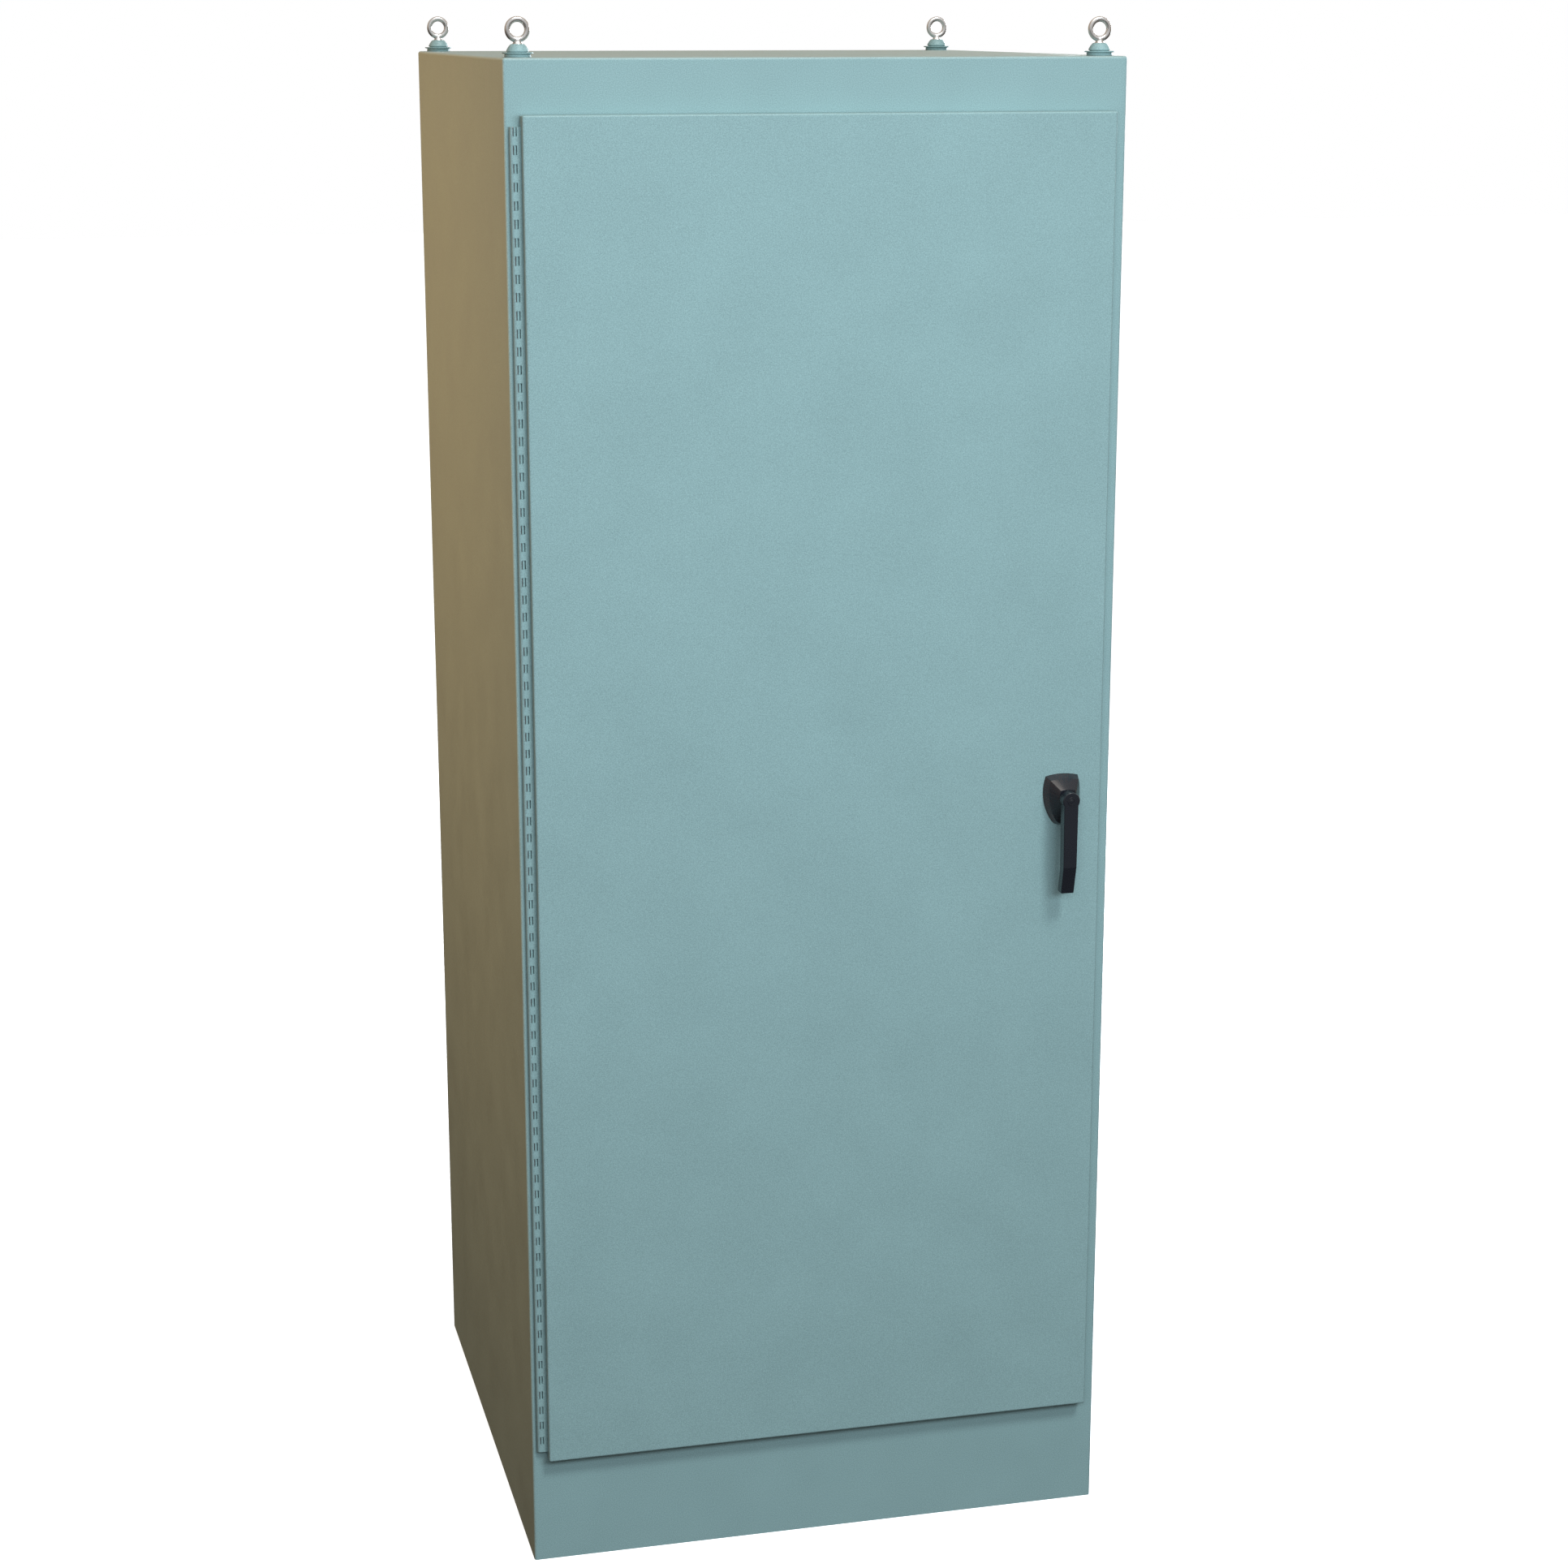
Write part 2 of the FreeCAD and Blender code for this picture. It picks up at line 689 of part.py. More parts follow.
def base_outline(share, inset, y):
    """The shield outline of the handle's base: four arcs, drawn in or scaled about the pivot."""
    def at(x, z):
        reach = math.hypot(x, z)
        drawn_in = share * (reach - inset) / reach
        return Vector(pivot_x + x * drawn_in, y, pivot_z + z * drawn_in)

    left_top = at(-base_half_width, base_shoulder)
    right_top = at(base_half_width, base_shoulder)
    right_low = at(base_foot_half, -base_foot_drop)
    left_low = at(-base_foot_half, -base_foot_drop)
    return Part.Wire([
        Part.Arc(left_top, at(0, base_crest), right_top).toShape(),
        Part.Arc(right_top, at(base_side_bulge, -base_bulge_drop), right_low).toShape(),
        Part.Arc(right_low, at(0, -base_lowest), left_low).toShape(),
        Part.Arc(left_low, at(-base_side_bulge, -base_bulge_drop), left_top).toShape(),
    ])


def handle_base():
    """The base on the door: leaning side walls, then four sloping faces up to the pivot."""
    foot = base_outline(1.0, 0, base_back)
    brim = base_outline(1.0, base_wall_inset, base_back - base_wall)
    crown = base_outline(base_top_share, 0, base_back - base_rise)
    walls = Part.makeLoft([foot, brim], True, True)
    slopes = Part.makeLoft([brim, crown], True, True)
    bore = spindle_radius + spindle_running_clearance
    drills = [post(bore, (pivot_x, base_back + 1, pivot_z), (pivot_x, base_back - base_rise - 1, pivot_z))]
    for z in base_screw_heights():
        drills.append(post(base_screw_radius + nut_fit, (pivot_x, base_back + 1, z),
                           (pivot_x, base_back - base_screw_hole_reach, z)))
    return walls.fuse(slopes).cut(drills)


def handle_base_gasket():
    """The thin seal between the handle's base and the door."""
    outline = base_outline(1.0, handle_gasket_inset, door_front)
    seal = Part.Face(outline).extrude(Vector(0, -handle_gasket, 0))
    return seal.cut(door_holes(door_front + 1, base_back - 1))


def handle_base_screws():
    """Two screws from inside the door into the handle's base."""
    screws = []
    head_end = skin_back + base_screw_head
    for z in base_screw_heights():
        shank = post(base_screw_radius, (pivot_x, skin_back, z), (pivot_x, base_back - base_screw_reach, z))
        head = post(base_screw_head_radius, (pivot_x, skin_back, z), (pivot_x, head_end, z))
        screws.append(fused([shank, head]))
    return group(screws)


def handle_lever():
    """The lever: a round head over the pivot and a flat shank that bends towards the door at its end."""
    bend = pivot_z - lever_bend_at
    end = pivot_z - lever_length
    crest = pivot_z + lever_head_radius
    side = [(lever_back, crest), (lever_back, bend), (lever_back + lever_bend_back, end),
            (lever_front + lever_bend_back, end), (lever_front, bend), (lever_front, crest)]
    slab = prism([(pivot_x - body_width, y, z) for y, z in side], 2 * body_width, (1, 0, 0))
    top = lever_top_width / 2
    foot = lever_end_width / 2
    front = [(pivot_x - top, lever_front - 1, pivot_z), (pivot_x + top, lever_front - 1, pivot_z),
             (pivot_x + foot, lever_front - 1, end), (pivot_x - foot, lever_front - 1, end)]
    shank = prism(front, lever_thickness + lever_bend_back + 2, (0, 1, 0)).common(slab)
    head = post(lever_head_radius, (pivot_x, lever_back, pivot_z), (pivot_x, lever_front, pivot_z))
    lever = fused([shank, head])
    lever = lever.makeFillet(lever_edge, edges_where(lever, lambda b: b.YMax < lever_back - 1
                                                     or b.ZMax < bend + 1))
    socket = post(spindle_radius + nut_fit, (pivot_x, lever_back + 1, pivot_z),
                  (pivot_x, lever_back - spindle_seat, pivot_z))
    recess = post(lever_cap_radius + nut_fit, (pivot_x, lever_front - 1, pivot_z),
                  (pivot_x, lever_front + lever_cap_recess, pivot_z))
    return lever.cut(socket).cut(recess)


def lever_cap():
    """The round cap over the lever's fixing screw."""
    cap = post(lever_cap_radius, (pivot_x, lever_front + lever_cap_recess, pivot_z),
               (pivot_x, lever_front - lever_cap_stand, pivot_z))
    return cap.makeFillet(lever_cap_edge, edges_where(cap, lambda b: b.YMax < lever_front))


def handle_spindle():
    """The shaft from the lever through the door: round, then square in the cam, then threaded."""
    half = cam_square / 2
    outer_end = (pivot_x, lever_back - spindle_seat, pivot_z)
    thread_end = (pivot_x, cam_back + nut_height_m8 + spindle_thread_proud, pivot_z)
    round_part = post(spindle_radius, outer_end, (pivot_x, cam_front, pivot_z))
    square = block((pivot_x - half, pivot_x + half), (cam_front, cam_back), (pivot_z - half, pivot_z + half))
    thread = post(spindle_end_radius, (pivot_x, cam_back, pivot_z), thread_end)
    return fused([round_part, square, thread])


# ---- Latch -----------------------------------------------------------------------------------------------
def latch_bracket():
    """The bridge welded inside the door, which steadies the spindle's inner end."""
    x = (pivot_x - bracket_half, pivot_x + bracket_half)
    z = (pivot_z - bracket_half, pivot_z + bracket_half)
    bridge = block(x, (bracket_back - bracket_sheet, bracket_back), z)
    legs = [block(x, (skin_back, bracket_back),
                  (pivot_z + side * bracket_half, pivot_z + side * (bracket_half - bracket_sheet)))
            for side in (-1, 1)]
    bore = post(spindle_radius + spindle_running_clearance, (pivot_x, skin_back + 1, pivot_z),
                (pivot_x, bracket_back + 1, pivot_z))
    return fused([bridge] + legs).cut(bore)


def latch_cam():
    """The cam plate on the spindle: a disc that drives both rods, and a tongue behind the jamb."""
    disc = post(cam_radius, (pivot_x, cam_front, pivot_z), (pivot_x, cam_back, pivot_z))
    tongue = block((pivot_x, pivot_x + tongue_reach), (cam_front, cam_back),
                   (pivot_z - tongue_width / 2, pivot_z + tongue_width / 2))
    half = cam_square / 2 + nut_fit
    hole = block((pivot_x - half, pivot_x + half), (cam_front - 1, cam_back + 1),
                 (pivot_z - half, pivot_z + half))
    return fused([disc, tongue]).cut(hole)


def cam_pins():
    """The two headed pins on the cam, half a turn apart, one for each rod."""
    pins = []
    head_front = rod_back + cam_pin_rod_gap
    for side in (-1, 1):
        x = pivot_x + side * pin_offset
        z = pivot_z + side * pin_offset
        stem = post(cam_pin_radius, (x, cam_back, z), (x, head_front, z))
        head = post(cam_pin_head, (x, head_front, z), (x, head_front + cam_pin_head_height, z))
        pins.append(fused([stem, head]))
    return group(pins)


def spindle_nut():
    """The nut that holds the cam on the spindle."""
    return hex_nut(nut_across_m8, spindle_end_radius + nut_fit, nut_height_m8, (pivot_x, cam_back, pivot_z),
                   (0, 1, 0))


def roller_height(side):
    """Height of the upper (+1) or lower (-1) roller with the door latched."""
    if side > 0:
        return opening_high + lip_thickness + roller_overlap
    return opening_low - lip_thickness - roller_overlap


def rod_x(side):
    """X of the upper (+1) or lower (-1) rod's centre line."""
    return pivot_x + side * rod_offset


def latch_rod(side):
    """One flat rod with a slotted end plate at the cam and a fork for its roller at the far end."""
    x = rod_x(side)
    y = (rod_front, rod_back)
    z = roller_height(side)
    pin_z = pivot_z + side * pin_offset
    slot_half = cam_pin_radius + cam_pin_slack
    slot_end = (cam_pin_circle - pin_offset) / 2 + slot_half
    plate_x = slot_end + rod_plate_wall
    plate_z = slot_half + rod_plate_wall
    plate = block((x - plate_x, x + plate_x), y, (pin_z - plate_z, pin_z + plate_z))
    bar = block((x - rod_width / 2, x + rod_width / 2), y, (pin_z, z))
    slot = block((x - slot_end, x + slot_end), (rod_front - 1, rod_back + 1),
                 (pin_z - slot_half, pin_z + slot_half))
    inner = roller_width / 2 + fork_gap
    outer = inner + fork_ear
    heights = (z - fork_half_height, z + fork_half_height)
    yoke = block((x - outer, x + outer), y, heights)
    ear_y = (roller_y - fork_half_height, rod_back)
    ears = [block((x + s * inner, x + s * outer), ear_y, heights) for s in (-1, 1)]
    hole = post(axle_radius + nut_fit, (x - outer - 1, roller_y, z), (x + outer + 1, roller_y, z))
    return fused([plate.fuse(bar).cut(slot), yoke] + ears).cut(hole)


def roller_axle(side):
    """The headed pin through a rod's fork."""
    x = rod_x(side)
    z = roller_height(side)
    reach = roller_width / 2 + fork_gap + fork_ear
    stem = post(axle_radius, (x - reach, roller_y, z), (x + reach, roller_y, z))
    heads = [post(axle_head_radius, (x + s * reach, roller_y, z), (x + s * (reach + axle_head), roller_y, z))
             for s in (-1, 1)]
    return fused([stem] + heads)


def roller(side):
    """The roller that runs up behind the frame and draws the door shut."""
    x = rod_x(side)
    z = roller_height(side)
    half = roller_width / 2
    wheel = post(roller_radius, (x - half, roller_y, z), (x + half, roller_y, z))
    wheel = wheel.makeFillet(roller_edge, edges_where(wheel, lambda b: b.XLength < 0.1))
    return wheel.cut(post(axle_radius + axle_running_clearance, (x - half - 1, roller_y, z),
                          (x + half + 1, roller_y, z)))


def guide_heights(side):
    """Heights of the two guides on one rod."""
    end = opening_high if side > 0 else opening_low
    return (end - side * guide_end_inset, pivot_z + side * guide_middle_inset)


def rod_guide(x, z):
    """One angle bracket on the door, narrow beside the gasket, with a window that its rod slides through."""
    half = rod_width / 2 + guide_clearance
    left = x - guide_half_width
    right = x + guide_half_width
    seal_side = min(right, gasket_near - guide_seal_gap)
    seal_back = lip_front - gasket_gap + guide_seal_gap
    neck = block((left, seal_side), (skin_back, seal_back), (z, z + guide_sheet))
    head = block((left, right), (seal_back, rod_back + guide_back_wall), (z, z + guide_sheet))
    foot = block((left, seal_side), (skin_back, skin_back + guide_sheet), (z - guide_foot, z))
    window = block((x - half, x + half), (rod_front - guide_clearance, rod_back + guide_clearance),
                   (z - 1, z + guide_sheet + 1))
    return fused([neck, head.cut(window), foot])


def rod_guides():
    """Two guides on each of the two rods."""
    return group([rod_guide(rod_x(side), z) for side in (-1, 1) for z in guide_heights(side)])


def rod_strikes():
    """The two wear plates behind the frame, where the rollers run."""
    y = (frame_back, frame_back + strike_plate)
    plates = []
    for side in (-1, 1):
        edge = opening_high + lip_thickness if side > 0 else opening_low - lip_thickness
        x = (rod_x(side) - strike_width / 2, rod_x(side) + strike_width / 2)
        plates.append(block(x, y, (edge, edge + side * strike_height)))
    return group(plates)


def cam_strike():
    """The channel behind the right jamb, which the cam's tongue turns in behind."""
    x0 = opening_half + lip_thickness + cam_strike_gap
    x1 = x0 + cam_strike_width
    back = cam_front - cam_gap
    z = (pivot_z - cam_strike_half_height, pivot_z + cam_strike_half_height)
    t = bracket_sheet
    web = block((x0, x1), (back - t, back), z)
    legs = [block((x0, x0 + t), (frame_back, back), z), block((x1 - t, x1), (frame_back, back), z)]
    return fused([web] + legs)


# ---- Everything together ----------------------------------------------------------------------------------
def all_nodes():
    """Every node's name and shape."""
    nodes = body_panels()
    nodes.update(eye_stack())
    nodes.update(panel_fasteners())
    for place, (x, y) in eye_places().items():
        nodes["eyebolt_" + place] = eyebolt(x, y)
    for name, side in (("bottom", -1), ("top", 1)):
        nodes[name + "_rod"] = latch_rod(side)
        nodes[name + "_roller"] = roller(side)
        nodes[name + "_roller_axle"] = roller_axle(side)
    nodes["left_wall_stiffeners"] = wall_stiffeners(-1)
    nodes["right_wall_stiffeners"] = wall_stiffeners(1)
    makers = (opening_lip, floor_panel, floor_anchor_plates, roof_stiffener, panel_rails, equipment_panel,
              cabinet_ground_stud, door_panel, door_gasket, door_stiffeners, print_pocket, door_ground_stud,
              hinge_frame_leaf, hinge_door_leaf, hinge_pin, handle_base, handle_base_gasket,
              handle_base_screws, handle_lever, lever_cap, handle_spindle, latch_bracket, latch_cam, cam_pins, spindle_nut,
              rod_guides, rod_strikes, cam_strike)
    for maker in makers:
        nodes[maker.__name__] = maker()
    return nodes


os.makedirs("parts", exist_ok=True)
for name, shape in all_nodes().items():
    if not shape.isValid():
        raise ValueError(name + " is not a valid shape")
    shape.exportStep("parts/" + name + ".step")
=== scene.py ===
"""Finishes, eased edges and turned pieces for a free-standing steel enclosure, with its stage.

Every place and size comes from the packed frame, in metres; +Z is up and the door faces -Y.
"""
import json
import math
from contextlib import contextmanager

import bmesh
import bpy
from bpy.props import FloatProperty, FloatVectorProperty, IntProperty, PointerProperty
from mathutils import Matrix, Vector


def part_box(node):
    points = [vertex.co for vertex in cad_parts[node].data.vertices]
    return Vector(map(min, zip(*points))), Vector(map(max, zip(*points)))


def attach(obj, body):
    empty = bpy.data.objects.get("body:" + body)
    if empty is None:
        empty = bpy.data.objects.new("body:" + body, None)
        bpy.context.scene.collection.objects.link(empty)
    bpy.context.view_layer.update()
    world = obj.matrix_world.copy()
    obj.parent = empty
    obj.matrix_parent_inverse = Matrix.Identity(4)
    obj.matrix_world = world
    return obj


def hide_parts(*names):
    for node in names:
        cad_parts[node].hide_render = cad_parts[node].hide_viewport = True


bl_info = {
    "name": "Free-standing enclosure",
    "version": (1, 0, 0),
    "blender": (4, 5, 0),
    "location": "3D View > Sidebar > Enclosure",
    "description": "Finishes and detail pieces for a sheet-steel enclosure on its stage",
    "category": "Object",
}

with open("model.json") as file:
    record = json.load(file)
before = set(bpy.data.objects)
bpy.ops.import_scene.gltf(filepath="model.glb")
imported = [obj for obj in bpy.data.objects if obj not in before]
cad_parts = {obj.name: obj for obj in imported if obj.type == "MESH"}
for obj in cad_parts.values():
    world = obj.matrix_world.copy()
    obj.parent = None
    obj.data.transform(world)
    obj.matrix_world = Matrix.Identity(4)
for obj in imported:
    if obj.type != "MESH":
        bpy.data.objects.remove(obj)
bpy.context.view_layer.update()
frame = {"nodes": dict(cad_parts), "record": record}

MM = 0.001
TURN = 2 * math.pi
X_AXIS = Vector((1, 0, 0))
Y_AXIS = Vector((0, 1, 0))
Z_AXIS = Vector((0, 0, 1))
EYES = ("front_left", "front_right", "rear_left", "rear_right")
SAME_POINT = 0.002 * MM  # CAD vertices nearer to each other than this are one
SAME_SPUN_POINT = 0.001 * MM  # the same for a piece spun in Blender
FLAT_ANGLE = math.radians(0.5)  # faces that meet at less than this are one flat


# ---- Sizes and colours that a user may change ------------
class PaintSettings(bpy.types.PropertyGroup):
    """Powder coat on the enclosure and its equipment panel."""

    enclosure_colour: FloatVectorProperty(
        name="Enclosure colour", description="Powder coat on the body and the door",
        subtype="COLOR", size=3, min=0, max=1, default=(0.268, 0.405, 0.403))
    panel_colour: FloatVectorProperty(
        name="Panel colour", description="Powder coat on the equipment panel",
        subtype="COLOR", size=3, min=0, max=1, default=(0.78, 0.78, 0.75))
    grain: FloatProperty(
        name="Grain", description="Width of one bump in the powder coat", unit="LENGTH", default=1.35 * MM)
    grain_depth: FloatProperty(
        name="Grain depth", description="Depth of the powder coat's bumps", unit="LENGTH", default=0.1 * MM)
    mottle: FloatProperty(
        name="Mottle", description="Share by which the colour varies from bump to bump", subtype="FACTOR",
        min=0, max=1, default=0.26)
    roughness: FloatProperty(
        name="Roughness", description="Roughness of the cured paint", subtype="FACTOR", min=0, max=1,
        default=0.46)


class MetalSettings(bpy.types.PropertyGroup):
    """Bare and plated metal."""

    polished_colour: FloatVectorProperty(
        name="Polished steel", description="Colour of the lifting eyes", subtype="COLOR", size=3,
        min=0, max=1, default=(0.74, 0.73, 0.72))
    zinc_colour: FloatVectorProperty(
        name="Zinc plate", description="Colour of the latch parts and fasteners", subtype="COLOR", size=3,
        min=0, max=1, default=(0.66, 0.66, 0.63))
    pin_colour: FloatVectorProperty(
        name="Drawn steel", description="Colour of the hinge's pin", subtype="COLOR", size=3,
        min=0, max=1, default=(0.32, 0.32, 0.33))
    thread_pitch: FloatProperty(
        name="Thread pitch", description="Distance between the crests of a thread", unit="LENGTH",
        default=1.5 * MM)
    thread_depth: FloatProperty(
        name="Thread depth", description="Depth of a thread below its crests", unit="LENGTH",
        default=0.75 * MM)


class EdgeSettings(bpy.types.PropertyGroup):
    """How far the edges of cut and folded pieces are eased."""

    sheet: FloatProperty(
        name="Sheet edges", description="Rounding on the edges of sheet pieces", unit="LENGTH",
        default=0.35 * MM)
    machined: FloatProperty(
        name="Machined edges", description="Rounding on turned and milled pieces", unit="LENGTH",
        default=0.4 * MM)
    cast: FloatProperty(
        name="Cast edges", description="Rounding on the handle's cast pieces", unit="LENGTH",
        default=0.9 * MM)
    foam: FloatProperty(
        name="Foam edges", description="Rounding on the foam seal", unit="LENGTH", default=3.2 * MM)
    steps: IntProperty(name="Steps", description="Faces across one rounded edge", min=1, max=6, default=2)


class EyeSettings(bpy.types.PropertyGroup):
    """The lifting eyes."""

    stock_radius: FloatProperty(
        name="Stock radius", description="Radius of the bar that the ring is forged from", unit="LENGTH",
        default=4.0 * MM)
    neck_radius: FloatProperty(
        name="Neck radius", description="Radius of the neck where it meets the ring", unit="LENGTH",
        default=4.6 * MM)
    foot_radius: FloatProperty(
        name="Foot radius", description="Radius of the neck where it meets the collar", unit="LENGTH",
        default=7.4 * MM)
    groove_depth: FloatProperty(
        name="Groove depth", description="Depth of the groove round the collar's foot", unit="LENGTH",
        default=1.8 * MM)


class HingeSettings(bpy.types.PropertyGroup):
    """The continuous hinge."""

    pitch: FloatProperty(
        name="Knuckle length", description="Length of one knuckle with its gap", unit="LENGTH",
        default=12.7 * MM)
    gap: FloatProperty(
        name="Gap", description="Gap between knuckles before painting", unit="LENGTH", default=0.4 * MM)
    hairline: FloatProperty(
        name="Hairline", description="Gap that the paint leaves", unit="LENGTH", default=0.12 * MM)


class StageSettings(bpy.types.PropertyGroup):
    """The floor, the camera and the studio's lights."""

    floor_colour: FloatVectorProperty(
        name="Floor colour", description="Colour of the studio floor", subtype="COLOR", size=3,
        min=0, max=1, default=(0.92, 0.92, 0.92))
    focal_length: FloatProperty(
        name="Focal length", description="Lens of the camera, in millimetres", default=70.134)
    camera_place: FloatVectorProperty(
        name="Camera place", description="Where the camera stands", subtype="TRANSLATION", size=3,
        default=(-1.12097, -4.76829, 2.34062))
    camera_turn: FloatProperty(
        name="Camera turn", description="How far the camera is turned about the vertical",
        subtype="ANGLE", default=math.radians(-13.8747))
    camera_drop: FloatProperty(
        name="Camera drop", description="How far the camera looks down", subtype="ANGLE",
        default=math.radians(14.0668))
    front_power: FloatProperty(
        name="Front power", description="Power of the broad light in front", unit="POWER", default=98.0)
    key_strength: FloatProperty(
        name="Key strength", description="Strength of the high light that draws the shadows", default=1.25)
    side_power: FloatProperty(
        name="Side power", description="Power of the warm light on the left", unit="POWER", default=50.0)
    top_power: FloatProperty(
        name="Top power", description="Power of the light overhead", unit="POWER", default=24.0)
    rear_power: FloatProperty(
        name="Rear power", description="Power of the light behind the enclosure", unit="POWER",
        default=210.0)
    roof_power: FloatProperty(
        name="Roof power", description="Power of the warm light on the roof", unit="POWER", default=22.0)
    base_power: FloatProperty(
        name="Handle base power", description="Power of the red light on the handle's base",
        unit="POWER", default=110.0)
    key_turn: FloatProperty(
        name="Key turn", description="How far the high light stands to the right of the front",
        subtype="ANGLE", default=math.radians(15))
    key_rise: FloatProperty(
        name="Key rise", description="How high the high light stands above level", subtype="ANGLE",
        default=math.radians(54))
    key_softness: FloatProperty(
        name="Key softness", description="Angle across the high light", subtype="ANGLE",
        default=math.radians(12))


SETTINGS = {
    "enclosure_paint": PaintSettings,
    "enclosure_metal": MetalSettings,
    "enclosure_edges": EdgeSettings,
    "enclosure_eyes": EyeSettings,
    "enclosure_hinge": HingeSettings,
    "enclosure_stage": StageSettings,
}


# ---- Working with pieces ---------------------------------
def only(piece):
    """Select one piece and nothing else."""
    bpy.ops.object.select_all(action="DESELECT")
    piece.select_set(True)
    bpy.context.view_layer.objects.active = piece


@contextmanager
def editing(piece):
    """Edit mode on one piece, all of it selected to begin with."""
    only(piece)
    bpy.ops.object.mode_set(mode="EDIT")
    bpy.ops.mesh.select_all(action="SELECT")
    yield
    bpy.ops.object.mode_set(mode="OBJECT")


def modified(piece, kind, **values):
    """Add a modifier with the given values and apply it."""
    only(piece)
    bpy.ops.object.modifier_add(type=kind)
    modifier = piece.modifiers[-1]
    for name, value in values.items():
        setattr(modifier, name, value)
    bpy.ops.object.modifier_apply(modifier=modifier.name)


def bevelled(piece, width, steps, least_angle=30.0):
    """Round every edge that turns by more than an angle, and keep the flats looking flat."""
    modified(piece, "BEVEL", width=width, segments=steps, limit_method="ANGLE",
             angle_limit=math.radians(least_angle))
    only(piece)
    bpy.ops.object.shade_smooth_by_angle(angle=math.radians(least_angle))
    modified(piece, "WEIGHTED_NORMAL", keep_sharp=True)


def joined(pieces, name):
    """Several pieces as one object."""
    only(pieces[0])
    for piece in pieces[1:]:
        piece.select_set(True)
    bpy.ops.object.join()
    pieces[0].name = name
    return pieces[0]


def repeated(piece, moves, name):
    """Copies of a piece, each with its own mesh, moved from where it stands, as one object."""
    copies = []
    for move in moves:
        copy = bpy.data.objects.new(name, piece.data.copy())
        bpy.context.scene.collection.objects.link(copy)
        copy.data.transform(Matrix.Translation(move))
        copies.append(copy)
    bpy.data.objects.remove(piece)
    return joined(copies, name)


def finished(piece, body, slot, *nodes):
    """Put the piece's place into its mesh, give it its finish, and let it stand for CAD nodes."""
    only(piece)
    bpy.ops.object.transform_apply(location=True, rotation=True, scale=True)
    piece.data.materials.clear()
    piece.data.materials.append(bpy.data.materials[slot])
    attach(piece, body)
    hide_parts(*nodes)


def settings(name):
    """One group of settings on the scene."""
    return getattr(bpy.context.scene, name)


def body_of(node):
    """The body that a CAD node moves with."""
    bodies = frame["record"]["behaviour"]["bodies"]
    return next(body for body, members in bodies.items() if node in members)


def slot_of(node):
    """The material slot of a CAD node."""
    return next(part["material_slot"] for part in frame["record"]["subparts"] if part["node"] == node)


def merged_copy(node):
    """A piece that is a copy of a CAD node, its loose triangles merged and its flats made whole."""
    mesh = frame["nodes"][node].data.copy()
    piece = bpy.data.objects.new(node + "_eased", mesh)
    bpy.context.scene.collection.objects.link(piece)
    only(piece)
    bpy.ops.mesh.customdata_custom_splitnormals_clear()
    with editing(piece):
        bpy.ops.mesh.remove_doubles(threshold=SAME_POINT)
        bpy.ops.mesh.select_all(action="SELECT")
        bpy.ops.mesh.dissolve_limited(angle_limit=FLAT_ANGLE)
    return piece


def solids_of(node):
    """The lowest and highest corners of each separate solid in a CAD node, from left to right."""
    mesh = bmesh.new()
    mesh.from_mesh(frame["nodes"][node].data)
    bmesh.ops.remove_doubles(mesh, verts=mesh.verts, dist=SAME_POINT)
    left = set(mesh.verts)
    boxes = []
    while left:
        reached = [left.pop()]
        members = []
        while reached:
            vertex = reached.pop()
            members.append(vertex.co)
            near = {edge.other_vert(vertex) for edge in vertex.link_edges} & left
            left -= near
            reached += near
        low = Vector([min(co[i] for co in members) for i in range(3)])
        high = Vector([max(co[i] for co in members) for i in range(3)])
        boxes.append((low, high))
    mesh.free()
    return sorted(boxes, key=lambda pair: [round(value, 4) for value in pair[0]])


def lathed(name, profile, centre, axis=Z_AXIS, steps=48):
    """A piece spun about an axis through a point, from (radius, distance along the axis) points."""
    bpy.ops.object.select_all(action="DESELECT")
    bpy.ops.mesh.primitive_plane_add(size=MM)
    piece = bpy.context.object
    piece.name = name
    with editing(piece):
        bpy.ops.mesh.merge(type="CENTER")
        bpy.ops.transform.translate(value=(profile[0][0], 0, profile[0][1]))
        for (radius, along), (next_radius, next_along) in zip(profile, profile[1:]):
            step = (next_radius - radius, 0, next_along - along)
            bpy.ops.mesh.extrude_region_move(TRANSFORM_OT_translate={"value": step})
        bpy.ops.mesh.select_all(action="SELECT")
        bpy.ops.mesh.spin(steps=steps, angle=TURN, center=(0, 0, 0), axis=(0, 0, 1))
        bpy.ops.mesh.select_all(action="SELECT")
        bpy.ops.mesh.remove_doubles(threshold=SAME_SPUN_POINT)
        bpy.ops.mesh.select_all(action="SELECT")
        bpy.ops.mesh.normals_make_consistent(inside=False)
    turn = Z_AXIS.rotation_difference(axis).to_matrix().to_4x4()
    piece.data.transform(Matrix.Translation(centre) @ turn)
    return piece


def thread_profile(radius, start, end, pitch, depth):
    """The outline of a threaded rod between two distances, with a chamfer at its far end."""
    groove, floor_start, floor_end = 0.45, 0.25, 0.15  # shares of the pitch, back from a crest
    turns = int((end - start - pitch) / pitch)
    points = [(0, start), (radius, start)]
    for i in range(turns):
        crest = start + pitch * (i + 1)
        points += [(radius, crest - pitch * groove), (radius - depth, crest - pitch * floor_start)]
        points += [(radius - depth, crest - pitch * floor_end), (radius, crest)]
    return points + [(radius, end - depth), (radius - depth, end), (0, end)]


